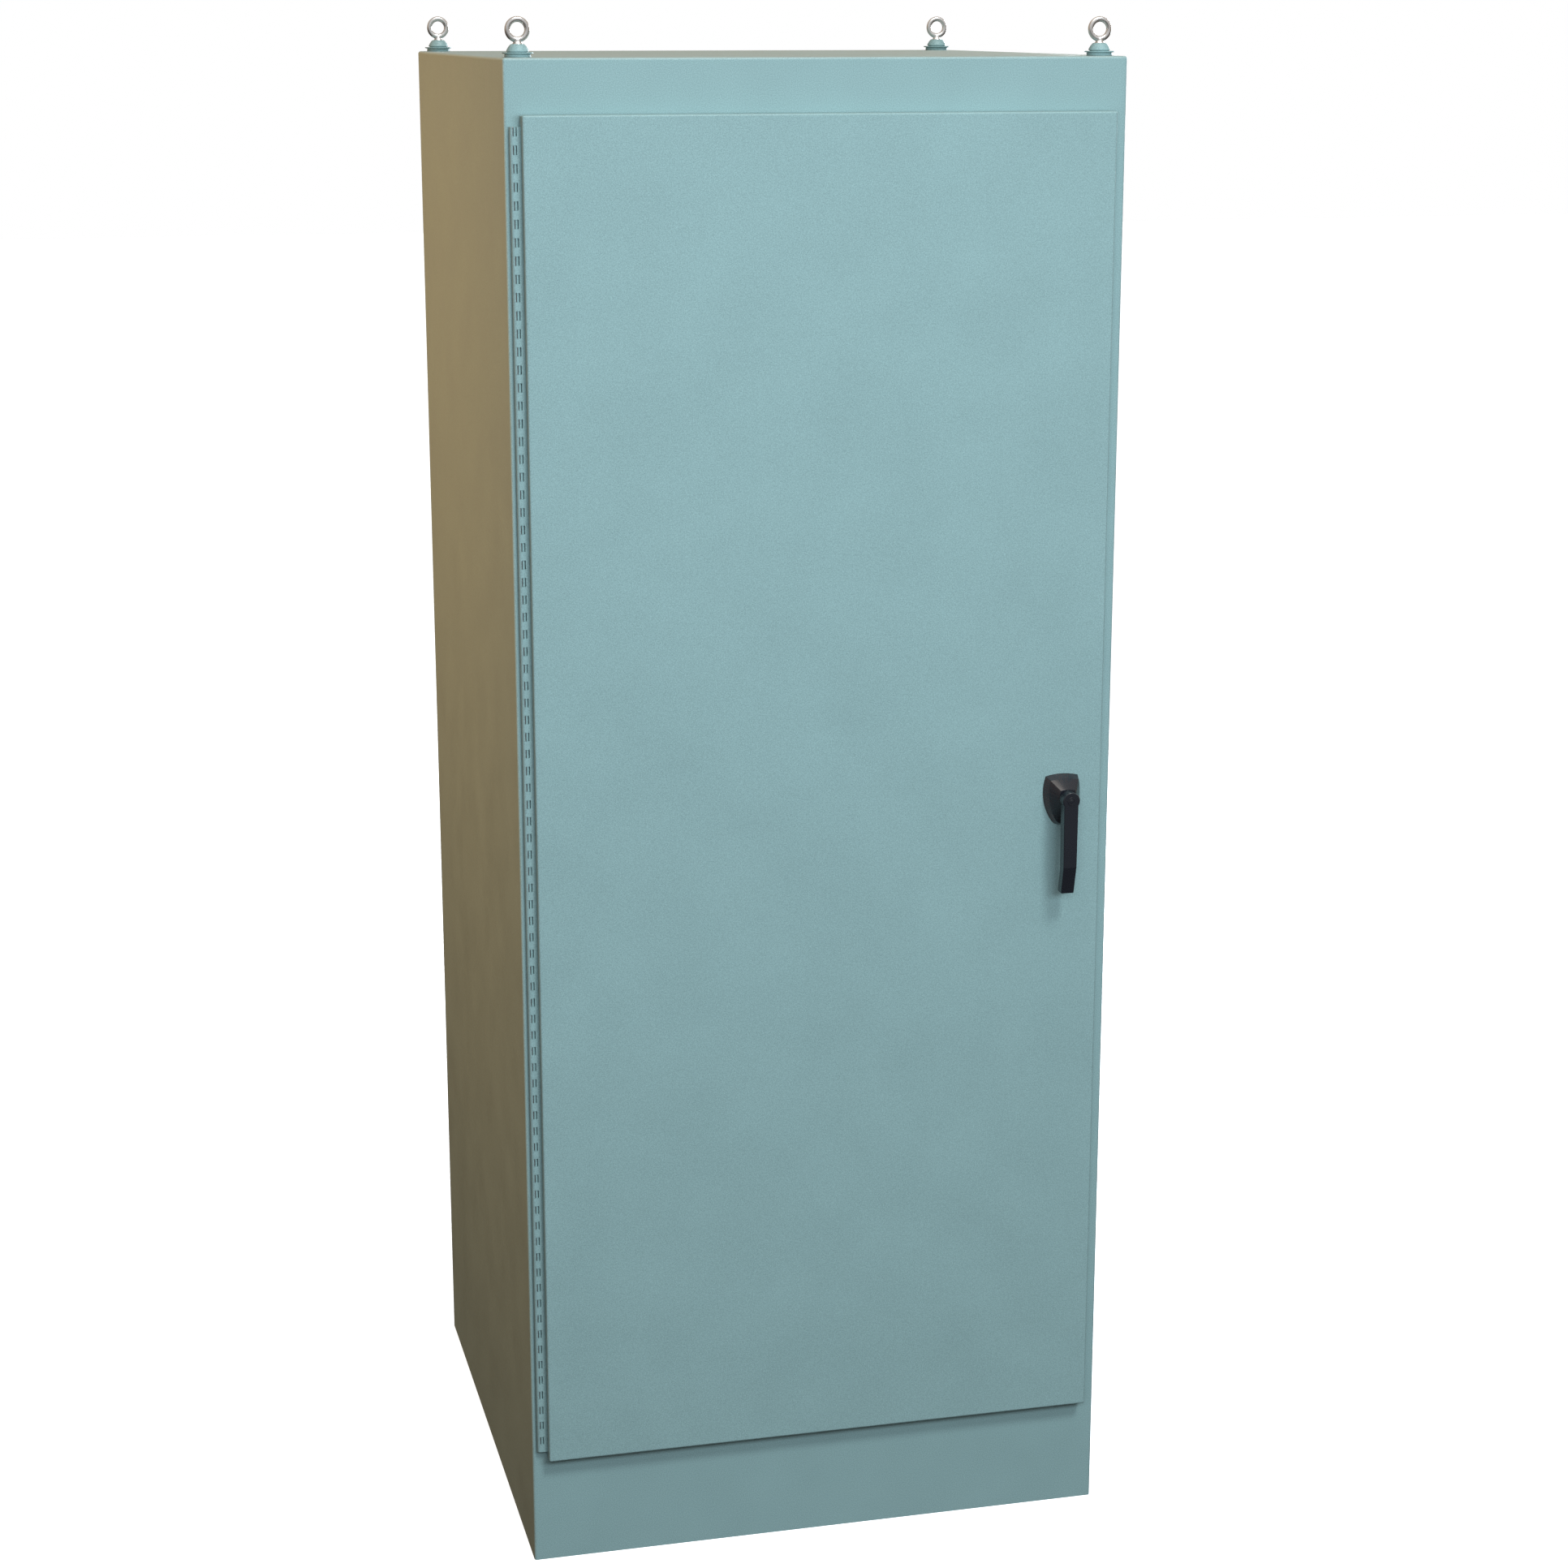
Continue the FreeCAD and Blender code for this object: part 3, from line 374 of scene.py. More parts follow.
def threaded(node, axis):
    """Threaded rods in place of the plain cylinders of a CAD node, which stand along an axis."""
    metal = settings("enclosure_metal")
    boxes = solids_of(node)
    low, high = boxes[0]
    size = high - low
    length = abs(size.dot(axis))
    radius = min(size) / 2
    centre = (low + high) / 2 - axis * length / 2
    outline = thread_profile(radius, 0, length, metal.thread_pitch, metal.thread_depth)
    rod = lathed(node + "_threaded", outline, centre, axis, 24)
    only(rod)
    bpy.ops.object.shade_smooth_by_angle(angle=math.radians(20))
    rod = repeated(rod, [box[0] - low for box in boxes], node + "_threaded")
    finished(rod, body_of(node), slot_of(node), node)


def turned_ring(node, inner_share, axis, edge):
    """Bored discs, such as washers, in place of the plain ones of a CAD node."""
    boxes = solids_of(node)
    low, high = boxes[0]
    size = high - low
    height = abs(size.dot(axis))
    radius = max(size) / 2
    bore = radius * inner_share
    centre = (low + high) / 2 - axis * height / 2
    outline = [(bore, 0), (radius, 0), (radius, height), (bore, height), (bore, 0)]
    ring = lathed(node + "_turned", outline, centre, axis, 40)
    bevelled(ring, edge, settings("enclosure_edges").steps)
    ring = repeated(ring, [box[0] - low for box in boxes], node + "_turned")
    finished(ring, body_of(node), slot_of(node), node)


def hexagon_nuts(node, axis, bore_radius):
    """Nuts with chamfered corners in place of the plain prisms of a CAD node."""
    rim_share, clear_share = 0.98, 1.01  # chamfer's inner and outer radius, of the flat's and the corner's
    boxes = solids_of(node)
    low, high = boxes[0]
    size = high - low
    top = abs(size.dot(axis)) / 2
    across = abs(size.dot(axis.cross(X_AXIS)))
    corner = max(size.x, across) / 2
    flat = corner * math.cos(math.pi / 6)
    rim = flat * rim_share
    clear = corner * clear_share
    drop = (corner - flat) * math.tan(math.pi / 6)
    outline = [(bore_radius, -top), (rim, -top), (clear, -top / 2), (clear, top / 2), (rim, top),
               (bore_radius, top), (bore_radius, -top)]
    nut = lathed(node + "_chamfered", outline, Vector(), Z_AXIS, 96)
    for vertex in nut.data.vertices:
        x, y, z = vertex.co
        round_radius = math.hypot(x, y)
        if round_radius > (rim + clear) / 2:  # bring the round wall in to the six flats
            radius = flat / math.cos(math.atan2(y, x) % (math.pi / 3) - math.pi / 6)
            level = top - drop * (radius - rim) / (clear - rim)
            share = radius / round_radius
            vertex.co = (x * share, y * share, math.copysign(level, z))
    only(nut)
    bpy.ops.object.shade_smooth_by_angle(angle=math.radians(20))
    corners_along_x = size.x > across + MM
    twist = Matrix() if corners_along_x else Matrix.Rotation(math.pi / 6, 4, "Z")
    turn = Z_AXIS.rotation_difference(axis).to_matrix().to_4x4()
    nut.data.transform(Matrix.Translation((low + high) / 2) @ turn @ twist)
    nut = repeated(nut, [box[0] - low for box in boxes], node + "_chamfered")
    finished(nut, body_of(node), slot_of(node), node)


def eased(node, width, steps=None, least_angle=30.0):
    """A copy of a CAD node with rounded edges, in its place."""
    piece = merged_copy(node)
    bevelled(piece, width, steps or settings("enclosure_edges").steps, least_angle)
    finished(piece, body_of(node), slot_of(node), node)


# ---- Finishes --------------------------------------------
def socket_values(node, values):
    """Set input sockets of a node by name."""
    for name, value in values.items():
        node.inputs[name].default_value = value


def new_node(tree, kind, values=None, **attributes):
    """A node with its attributes and socket values set."""
    node = tree.nodes.new(kind)
    for name, value in attributes.items():
        setattr(node, name, value)
    socket_values(node, values or {})
    return node


def arithmetic(tree, operation, first, second):
    """A Math node's output; each operand is a number or an output."""
    node = new_node(tree, "ShaderNodeMath", operation=operation)
    for socket, value in zip(node.inputs, (first, second)):
        if isinstance(value, (int, float)):
            socket.default_value = value
        else:
            tree.links.new(value, socket)
    return node.outputs[0]


def surface_group(name, fine_ratio, cloud_ratio, cloud_share):
    """A group that turns a colour and a grain size into a varied colour, roughness and height."""
    tree = bpy.data.node_groups.new(name, "ShaderNodeTree")
    kinds = {"Vector": "NodeSocketVector", "Colour": "NodeSocketColor", "Scale": "NodeSocketFloat",
             "Variation": "NodeSocketFloat", "Base roughness": "NodeSocketFloat"}
    for socket, kind in kinds.items():
        tree.interface.new_socket(socket, in_out="INPUT", socket_type=kind)
    for socket, kind in {"Colour": "NodeSocketColor", "Roughness": "NodeSocketFloat",
                         "Height": "NodeSocketFloat"}.items():
        tree.interface.new_socket(socket, in_out="OUTPUT", socket_type=kind)
    given = tree.nodes.new("NodeGroupInput").outputs
    made = tree.nodes.new("NodeGroupOutput").inputs
    noises = []
    for ratio, detail in ((1.0, 2.0), (fine_ratio, 1.0), (cloud_ratio, 2.0)):
        noise = new_node(tree, "ShaderNodeTexNoise", {"Detail": detail, "Roughness": 0.55})
        tree.links.new(given["Vector"], noise.inputs["Vector"])
        tree.links.new(arithmetic(tree, "MULTIPLY", given["Scale"], ratio), noise.inputs["Scale"])
        noises.append(arithmetic(tree, "SUBTRACT", noise.outputs["Fac"], 0.5))
    grain, fine, cloud = noises
    speck = arithmetic(tree, "ADD", grain, arithmetic(tree, "MULTIPLY", cloud, cloud_share))
    swing = arithmetic(tree, "MULTIPLY", speck, arithmetic(tree, "MULTIPLY", given["Variation"], 4.0))
    tint = new_node(tree, "ShaderNodeVectorMath", operation="SCALE")
    tree.links.new(given["Colour"], tint.inputs[0])
    tree.links.new(arithmetic(tree, "ADD", swing, 1.0), tint.inputs["Scale"])
    tree.links.new(tint.outputs[0], made["Colour"])
    rough = arithmetic(tree, "MULTIPLY", arithmetic(tree, "ADD", grain, cloud), 0.25)
    tree.links.new(arithmetic(tree, "ADD", given["Base roughness"], rough), made["Roughness"])
    relief = arithmetic(tree, "ADD", grain, arithmetic(tree, "MULTIPLY", fine, 0.4))
    tree.links.new(arithmetic(tree, "ADD", relief, 0.5), made["Height"])
    return tree


def finish(name, group, colour, grain, variation, roughness, depth, stretch=(1, 1, 1), **constants):
    """A material: a shader whose colour, roughness and bump come from one surface group."""
    material = bpy.data.materials.get(name + "_finish") or bpy.data.materials.new(name + "_finish")
    material.use_nodes = True
    tree = material.node_tree
    shader = tree.nodes["Principled BSDF"]
    socket_values(shader, constants)
    place = new_node(tree, "ShaderNodeTexCoord")
    mapping = new_node(tree, "ShaderNodeMapping", {"Scale": stretch})
    surface = new_node(tree, "ShaderNodeGroup", node_tree=group)
    socket_values(surface, {"Colour": (*colour, 1), "Scale": 1 / grain, "Variation": variation,
                            "Base roughness": roughness})
    bump = new_node(tree, "ShaderNodeBump", {"Strength": 1.0, "Distance": depth})
    tree.links.new(place.outputs["Object"], mapping.inputs["Vector"])
    tree.links.new(mapping.outputs[0], surface.inputs["Vector"])
    tree.links.new(surface.outputs["Colour"], shader.inputs["Base Color"])
    tree.links.new(surface.outputs["Roughness"], shader.inputs["Roughness"])
    tree.links.new(surface.outputs["Height"], bump.inputs["Height"])
    tree.links.new(bump.outputs[0], shader.inputs["Normal"])
    return material


def foam_finish(colour, cell, depth):
    """Closed-cell foam: a dark skin pitted with small round cells; its colour is painted shade, darker down
    in each pit and lighter on the rims between them.
    """
    material = bpy.data.materials.new("gasket_foam_finish")
    material.use_nodes = True
    tree = material.node_tree
    shader = tree.nodes["Principled BSDF"]
    socket_values(shader, {"Specular IOR Level": 0.25})
    place = new_node(tree, "ShaderNodeTexCoord")
    cells = new_node(tree, "ShaderNodeTexVoronoi", {"Scale": 1 / cell})
    tree.links.new(place.outputs["Object"], cells.inputs["Vector"])
    # painted shade: the ramp darkens each cell's pit, where the bump is lowest, and lightens the rims
    # between the pits
    shade = new_node(tree, "ShaderNodeValToRGB")
    shade.color_ramp.elements[0].color = (*[value * 0.55 for value in colour], 1)
    shade.color_ramp.elements[1].color = (*[value * 1.5 for value in colour], 1)
    bump = new_node(tree, "ShaderNodeBump", {"Strength": 1.0, "Distance": depth})
    rough = arithmetic(tree, "SUBTRACT", 0.95, arithmetic(tree, "MULTIPLY", cells.outputs["Distance"], 0.2))
    tree.links.new(cells.outputs["Distance"], shade.inputs[0])
    tree.links.new(shade.outputs[0], shader.inputs["Base Color"])
    tree.links.new(rough, shader.inputs["Roughness"])
    tree.links.new(cells.outputs["Distance"], bump.inputs["Height"])
    tree.links.new(bump.outputs[0], shader.inputs["Normal"])
    return material


def make_finishes():
    """Every finish, by the name of its material slot."""
    paint = settings("enclosure_paint")
    metal = settings("enclosure_metal")
    coat = surface_group("Powder coat", fine_ratio=2.3, cloud_ratio=0.012, cloud_share=0.12)
    metals = surface_group("Metal grain", fine_ratio=3.0, cloud_ratio=0.06, cloud_share=1.2)
    paints = {"roughness": paint.roughness, "depth": paint.grain_depth}
    return {
        "enclosure_paint": finish(
            "enclosure_paint", coat, paint.enclosure_colour, grain=paint.grain, variation=paint.mottle,
            **paints, **{"Specular IOR Level": 0.4}),
        "panel_white_paint": finish(
            "panel_white_paint", coat, paint.panel_colour, grain=paint.grain, variation=paint.mottle / 2,
            **paints),
        "polished_steel": finish(
            "polished_steel", metals, metal.polished_colour, grain=3 * MM, variation=0.05, roughness=0.33,
            depth=0.01 * MM, Metallic=1.0),
        "zinc_plated_steel": finish(
            "zinc_plated_steel", metals, metal.zinc_colour, grain=1.2 * MM, variation=0.12, roughness=0.36,
            depth=0.02 * MM, Metallic=1.0),
        "hinge_pin_steel": finish(
            "hinge_pin_steel", metals, metal.pin_colour, grain=0.8 * MM, variation=0.12, roughness=0.4,
            depth=0.02 * MM, stretch=(1, 1, 0.05), Metallic=1.0),
        "handle_black": finish(
            "handle_black", coat, (0.008, 0.010, 0.015), grain=0.9 * MM, variation=0.1, roughness=0.27,
            depth=0.012 * MM, **{"Coat Weight": 0.15, "Coat Roughness": 0.15}),
        "roller_nylon": finish(
            "roller_nylon", coat, (0.72, 0.70, 0.62), grain=4 * MM, variation=0.03, roughness=0.42,
            depth=0.01 * MM, **{"Subsurface Weight": 0.15, "Subsurface Radius": (0.003, 0.003, 0.002)}),
        "gasket_foam": foam_finish((0.022, 0.022, 0.024), cell=0.9 * MM, depth=0.12 * MM),
    }


class ENCLOSURE_OT_finishes(bpy.types.Operator):
    """Give every CAD node the finish of its material slot"""

    bl_idname = "enclosure.finishes"
    bl_label = "Finishes"

    def execute(self, context):
        made = make_finishes()
        for node in frame["nodes"]:
            slots = frame["nodes"][node].material_slots
            slots[0].material = made[slot_of(node)]
        for slot, material in made.items():
            old = bpy.data.materials.get(slot)
            if old is not None:
                bpy.data.materials.remove(old)
            material.name = slot
        return {"FINISHED"}


# ---- Lifting eyes ----------------------------------------
class ENCLOSURE_OT_lifting_eyes(bpy.types.Operator):
    """Forge the four rings with their necks, and thread their shanks"""

    bl_idname = "enclosure.lifting_eyes"
    bl_label = "Lifting eyes"

    def execute(self, context):
        sizes = settings("enclosure_eyes")
        metal = settings("enclosure_metal")
        sink = 2 * MM  # how far the neck starts inside the collar
        neck_top_share, flare_share, flare_width = 0.2, 0.45, 1.15
        voxel = 0.55 * MM
        shank_step = 1.05 * MM  # how far the shank stands back from the neck's foot
        collar_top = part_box("eyebolt_collars")[1].z
        for place in EYES:
            node = "eyebolt_" + place
            low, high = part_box(node)
            ring_radius = (high.x - low.x) / 2 - sizes.stock_radius
            centre = Vector(((low.x + high.x) / 2, (low.y + high.y) / 2, high.z - (high.x - low.x) / 2))
            bpy.ops.object.select_all(action="DESELECT")
            bpy.ops.mesh.primitive_torus_add(
                location=centre, rotation=(math.pi / 2, 0, 0), major_radius=ring_radius,
                minor_radius=sizes.stock_radius, major_segments=64, minor_segments=24)
            ring = bpy.context.object
            bpy.ops.object.transform_apply(location=True, rotation=True, scale=True)
            foot = collar_top - sink
            top = centre.z - ring_radius
            rise = top - collar_top
            flare = [(0, 0), (sizes.foot_radius, 0), (sizes.foot_radius, collar_top - foot),
                     (sizes.neck_radius * flare_width, collar_top - foot + rise * flare_share),
                     (sizes.neck_radius, top - foot - rise * neck_top_share),
                     (sizes.neck_radius, top - foot), (0, top - foot)]
            neck = lathed("neck", flare, Vector((centre.x, centre.y, foot)), Z_AXIS, 40)
            forging = joined([ring, neck], node + "_forged")
            modified(forging, "REMESH", mode="VOXEL", voxel_size=voxel)
            modified(forging, "SMOOTH", factor=0.5, iterations=8)
            only(forging)
            bpy.ops.object.shade_smooth()
            shank_radius = sizes.foot_radius - shank_step
            outline = thread_profile(shank_radius, 0, foot - low.z, metal.thread_pitch, metal.thread_depth)
            shank = lathed("shank", outline, Vector((centre.x, centre.y, foot)), -Z_AXIS, 28)
            forging = joined([forging, shank], node + "_forged")
            finished(forging, "cabinet", "polished_steel", node)
        return {"FINISHED"}


def eye_centres():
    """Where the four lifting eyes stand in plan."""
    centres = []
    for place in EYES:
        low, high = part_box("eyebolt_" + place)
        centres.append(Vector(((low.x + high.x) / 2, (low.y + high.y) / 2, 0)))
    return centres


def under_eyes(node, outline, edge):
    """Four turned pieces under the lifting eyes, from an outline of (radius, height above the roof)."""
    centres = eye_centres()
    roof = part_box("roof_panel")[1].z
    piece = lathed(node + "_turned", outline, centres[0] + Vector((0, 0, roof)), Z_AXIS, 64)
    bevelled(piece, edge, 3, 20.0)
    piece = repeated(piece, [centre - centres[0] for centre in centres], node + "_turned")
    finished(piece, body_of(node), slot_of(node), node)


class ENCLOSURE_OT_eye_collars(bpy.types.Operator):
    """Turn the bosses, dished washers and domed collars under the lifting eyes"""

    bl_idname = "enclosure.eye_collars"
    bl_label = "Eye collars"

    def execute(self, context):
        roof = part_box("roof_panel")[1].z
        eye_x = max(centre.x for centre in eye_centres())
        groove = settings("enclosure_eyes").groove_depth
        bore = settings("enclosure_eyes").foot_radius - 0.8 * MM
        edge = settings("enclosure_edges").machined
        step = MM  # width of each chamfer and of the washers' dish
        groove_height, groove_slope, dome_height = 1.4 * MM, 0.8 * MM, 9 * MM
        crown_share = 0.52  # the dome's flat top, of its radius
        reach = {}
        for node in ("eyebolt_bosses", "eyebolt_washers", "eyebolt_collars"):
            low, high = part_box(node)
            reach[node] = (high.x - eye_x, low.z - roof, high.z - roof)
        radius, low, high = reach["eyebolt_bosses"]
        rim = radius - step
        under_eyes("eyebolt_bosses", [(bore, low), (radius, low), (radius, high - step), (rim, high),
                                      (bore, high), (bore, low)], edge)
        radius, low, high = reach["eyebolt_washers"]
        top = high - step
        under_eyes("eyebolt_washers", [(bore, low), (rim, low), (radius, low + step), (radius, high),
                                       (rim, top), (bore, top), (bore, low)], edge / 2)
        radius, low, high = reach["eyebolt_collars"]
        neck = radius - groove
        foot = low + groove_height
        dome = []
        for angle in (math.radians(degrees) for degrees in range(0, 91, 15)):
            bulge = (math.cos(angle) + 1 - math.sin(angle)) / 2
            dome.append((radius * (crown_share + (1 - crown_share) * bulge),
                         high - dome_height + dome_height * math.sin(angle)))
        stem = [(bore, low), (neck, low), (neck, foot), (radius, foot + groove_slope)]
        under_eyes("eyebolt_collars", stem + dome + [(bore, high), (bore, low)], edge)
        return {"FINISHED"}


# ---- Handle ----------------------------------------------
class ENCLOSURE_OT_handle(bpy.types.Operator):
    """Round the cast base and lever, and turn the ringed cap"""

    bl_idname = "enclosure.handle"
    bl_label = "Handle"

    def execute(self, context):
        edge = settings("enclosure_edges").cast
        eased("handle_base", edge, 3, 20.0)
        eased("handle_lever", edge / 2, 2, 25.0)
        low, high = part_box("lever_cap")
        radius = (high.x - low.x) / 2
        height = high.y - low.y
        ring, ring_foot, button_foot, button, crown = 0.72, 0.68, 0.54, 0.48, 0.25  # shares of the radius
        groove = height - 0.6 * MM
        outline = [(0, 0), (radius, 0), (radius, height - 0.5 * MM), (radius - 0.4 * MM, height),
                   (radius * ring, height), (radius * ring_foot, groove), (radius * button_foot, groove),
                   (radius * button, height - 0.1 * MM), (radius * crown, height), (0, height)]
        centre = Vector(((low.x + high.x) / 2, high.y, (low.z + high.z) / 2))
        cap = lathed("lever_cap_ringed", outline, centre, -Y_AXIS, 48)
        bevelled(cap, 0.12 * MM, 2, 20.0)
        finished(cap, "handle", "handle_black", "lever_cap")
        return {"FINISHED"}


# ---- Seal ------------------------------------------------
class ENCLOSURE_OT_door_seal(bpy.types.Operator):
    """Pour the foam seal as one rounded bead round the inside of the door"""

    bl_idname = "enclosure.door_seal"
    bl_label = "Door seal"

    def execute(self, context):
        low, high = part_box("door_gasket")
        inner = min(abs(vertex.co.x) for vertex in frame["nodes"]["door_gasket"].data.vertices)
        width = high.x - inner
        bpy.ops.object.select_all(action="DESELECT")
        bpy.ops.mesh.primitive_plane_add(size=1, rotation=(math.pi / 2, 0, 0),
                                         location=((low.x + high.x) / 2, low.y, (low.z + high.z) / 2))
        seal = bpy.context.object
        seal.name = "door_gasket_bead"
        seal.scale = (high.x - low.x, high.z - low.z, 1)
        bpy.ops.object.transform_apply(location=True, rotation=True, scale=True)
        with editing(seal):
            bpy.ops.mesh.inset(thickness=width)
            bpy.ops.mesh.delete(type="FACE")
            bpy.ops.mesh.select_all(action="SELECT")
            bpy.ops.mesh.extrude_region_move(TRANSFORM_OT_translate={"value": (0, high.y - low.y, 0)})
            bpy.ops.mesh.select_all(action="SELECT")
            bpy.ops.mesh.normals_make_consistent(inside=False)
        bevelled(seal, settings("enclosure_edges").foam, 4)
        finished(seal, "door", "gasket_foam", "door_gasket")
        return {"FINISHED"}


# ---- Hinge -----------------------------------------------
class ENCLOSURE_OT_hinge_pin(bpy.types.Operator):
    """Draw the hinge's long pin, with chamfered ends and room to turn in its knuckles"""

    bl_idname = "enclosure.hinge_pin"
    bl_label = "Hinge pin"

    def execute(self, context):
        low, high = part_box("hinge_pin")
        play, chamfer = 0.2 * MM, 0.6 * MM
        radius = (high.x - low.x) / 2 - play
        height = high.z - low.z
        outline = [(0, 0), (radius - chamfer, 0), (radius, chamfer), (radius, height - chamfer),
                   (radius - chamfer, height), (0, height)]
        centre = Vector(((low.x + high.x) / 2, (low.y + high.y) / 2, low.z))
        pin = lathed("hinge_pin_drawn", outline, centre, Z_AXIS, 32)
        only(pin)
        bpy.ops.object.shade_smooth_by_angle(angle=math.radians(30))
        finished(pin, body_of("hinge_pin"), slot_of("hinge_pin"), "hinge_pin")
        return {"FINISHED"}


class ENCLOSURE_OT_hinge_leaves(bpy.types.Operator):
    """Close the gaps between the knuckles to the hairlines that the paint leaves"""

    bl_idname = "enclosure.hinge_leaves"
    bl_label = "Hinge leaves"

    def execute(self, context):
        hinge = settings("enclosure_hinge")
        pin_low, pin_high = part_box("hinge_pin")
        leaf_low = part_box("hinge_door_leaf")[0]
        middle = (pin_low.x + pin_high.x) / 2
        notch = 2 * middle - leaf_low.x + hinge.gap
        near = 0.02 * MM
        close = (hinge.gap - hinge.hairline) / 2
        for node in ("hinge_frame_leaf", "hinge_door_leaf"):
            leaf = merged_copy(node)
            for vertex in leaf.data.vertices:
                along = (vertex.co.z - pin_low.z) % hinge.pitch
                if abs(along - hinge.gap / 2) < near:  # the knuckle's lower end
                    vertex.co.z -= close
                elif abs(along - hinge.pitch + hinge.gap / 2) < near:  # its upper end
                    vertex.co.z += close
                if abs(vertex.co.x - notch) < near:  # the notch round the other leaf's knuckle
                    vertex.co.x -= 2 * close
            only(leaf)
            bpy.ops.object.shade_smooth_by_angle(angle=math.radians(30))
            finished(leaf, body_of(node), slot_of(node), node)
        return {"FINISHED"}


# ---- Latch and fasteners ---------------------------------
class ENCLOSURE_OT_rollers(bpy.types.Operator):
    """Turn the rollers with a crowned tread, and their headed axles"""

    bl_idname = "enclosure.rollers"
    bl_label = "Rollers"

    def execute(self, context):
        for side in ("top", "bottom"):
            node = side + "_roller"
            low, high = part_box(node)
            axle_low, axle_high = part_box(node + "_axle")
            radius = (high.z - low.z) / 2
            width = high.x - low.x
            bore, dish = 2.58 * MM, 0.5 * MM
            hub, hub_foot, web, tread = 0.5, 0.54, 0.82, 0.86  # shares of the radius
            outline = [(bore, 0), (radius * hub, 0), (radius * hub_foot, dish), (radius * web, dish),
                       (radius * tread, 0), (radius - 0.8 * MM, 0), (radius, 0.9 * MM)]
            mirrored = [(r, width - along) for r, along in reversed(outline)]
            centre = Vector((low.x, (low.y + high.y) / 2, (low.z + high.z) / 2))
            wheel = lathed(node + "_turned", outline + mirrored + outline[:1], centre, X_AXIS, 64)
            bevelled(wheel, 0.3 * MM, 2, 20.0)
            finished(wheel, body_of(node), slot_of(node), node)
            reach = axle_high.x - axle_low.x
            head = (axle_high.z - axle_low.z) / 2
            dome_share, dome, head_height, shank = 0.6, 0.6 * MM, 1.2 * MM, 2.5 * MM
            outline = [(0, 0), (head * dome_share, 0), (head, dome), (head, head_height),
                       (shank, head_height)]
            mirrored = [(r, reach - along) for r, along in reversed(outline)]
            centre.x = axle_low.x
            axle = lathed(node + "_axle_turned", outline + mirrored, centre, X_AXIS, 40)
            bevelled(axle, 0.2 * MM, 2, 20.0)
            finished(axle, body_of(node + "_axle"), slot_of(node + "_axle"), node + "_axle")
        return {"FINISHED"}


class ENCLOSURE_OT_fasteners(bpy.types.Operator):
    """Cut threads on the studs, chamfer the nuts and round the washers"""

    bl_idname = "enclosure.fasteners"
    bl_label = "Fasteners"

    def execute(self, context):
        edge = settings("enclosure_edges").machined
        threaded("panel_studs", -Y_AXIS)
        threaded("cabinet_ground_stud", X_AXIS)
        threaded("door_ground_stud", Y_AXIS)
        hexagon_nuts("panel_nuts", Y_AXIS, 5.02 * MM)
        hexagon_nuts("eyebolt_nuts", Z_AXIS, 6.37 * MM)
        hexagon_nuts("spindle_nut", Y_AXIS, 4.02 * MM)
        turned_ring("panel_washers", 0.48, Y_AXIS, edge)
        return {"FINISHED"}


class ENCLOSURE_OT_latch(bpy.types.Operator):
    """Ease the edges of the cam, its pins, the rods, their guides and the strikes"""

    bl_idname = "enclosure.latch"
    bl_label = "Latch"

    def execute(self, context):
        edges = settings("enclosure_edges")
        for node in ("latch_cam", "cam_pins", "handle_spindle", "handle_base_screws"):
            eased(node, edges.machined)
        for node in ("top_rod", "bottom_rod", "rod_guides", "rod_strikes", "cam_strike", "latch_bracket"):
            eased(node, edges.sheet)
        return {"FINISHED"}


class ENCLOSURE_OT_folded_pieces(bpy.types.Operator):
    """Ease the edges of the folded stiffeners, rails, plates, panel and pocket"""

    bl_idname = "enclosure.folded_pieces"
    bl_label = "Folded pieces"

    def execute(self, context):
        edge = settings("enclosure_edges").sheet
        for node in ("door_stiffeners", "left_wall_stiffeners", "right_wall_stiffeners", "roof_stiffener",
                     "panel_rails", "equipment_panel", "print_pocket", "lifting_plates",
                     "floor_anchor_plates", "opening_lip"):
            eased(node, edge)
        return {"FINISHED"}


# ---- Stage -----------------------------------------------
FLOOR_SIZE = 60
FLOOR_DROP = 0.3 * MM  # keeps the floor from meeting the cabinet's underside
EDGE_SHARE = 0.3  # the warm light's share that falls on everything but the cabinet's shell
WARM = (1.0, 0.478, 0.195)
SKY_AHEAD = (0.72, 0.72, 0.72)
SKY_BEHIND = (0.46, 0.35, 0.25)
# name, place, target, size, colour, whether it shows in reflections
AREA_LIGHTS = (
    ("front_light", (0.1, -3.66, 2.4), (0.1, 0, 2.4), (3.2, 0.9), (0.80, 0.90, 1.0), False),
    ("side_light", (-2.62, 0.3, 2.1), (0, 0.3, 2.1), (1.5, 0.8), WARM, False),
    ("edge_light", (-2.62, 0.3, 2.1), (0, 0.3, 2.1), (1.5, 0.8), WARM, False),
    ("base_light", (0, 0.5, 1.45), (0, -0.5, 1.45), (2.0, 1.4), (1.0, 0.16, 0.03), True),
    ("top_light", (0, -1.1, 4.9), (0, -0.3, 2.3), (2.0, 1.2), (1.0, 0.90, 0.80), True),
    ("roof_light", (0, 0.2, 4.2), (0, 0.2, 2.2), (2.4, 2.4), (1.0, 0.40, 0.22), False),
    ("rear_light", (3.2, 3.6, 2.6), (0, 0, 1.2), (2.6, 1.6), (0.82, 0.91, 1.0), True),
)


def area_light(name, place, target, size, power, colour):
    """A rectangular light at a place, turned to a target."""
    bpy.ops.object.select_all(action="DESELECT")
    bpy.ops.object.light_add(type="AREA", location=place)
    light = bpy.context.object
    light.name = name
    light.rotation_euler = (Vector(place) - Vector(target)).to_track_quat("Z", "Y").to_euler()
    light.data.shape = "RECTANGLE"
    light.data.size, light.data.size_y = size
    light.data.energy = power
    light.data.color = colour
    light.visible_camera = False
    return light


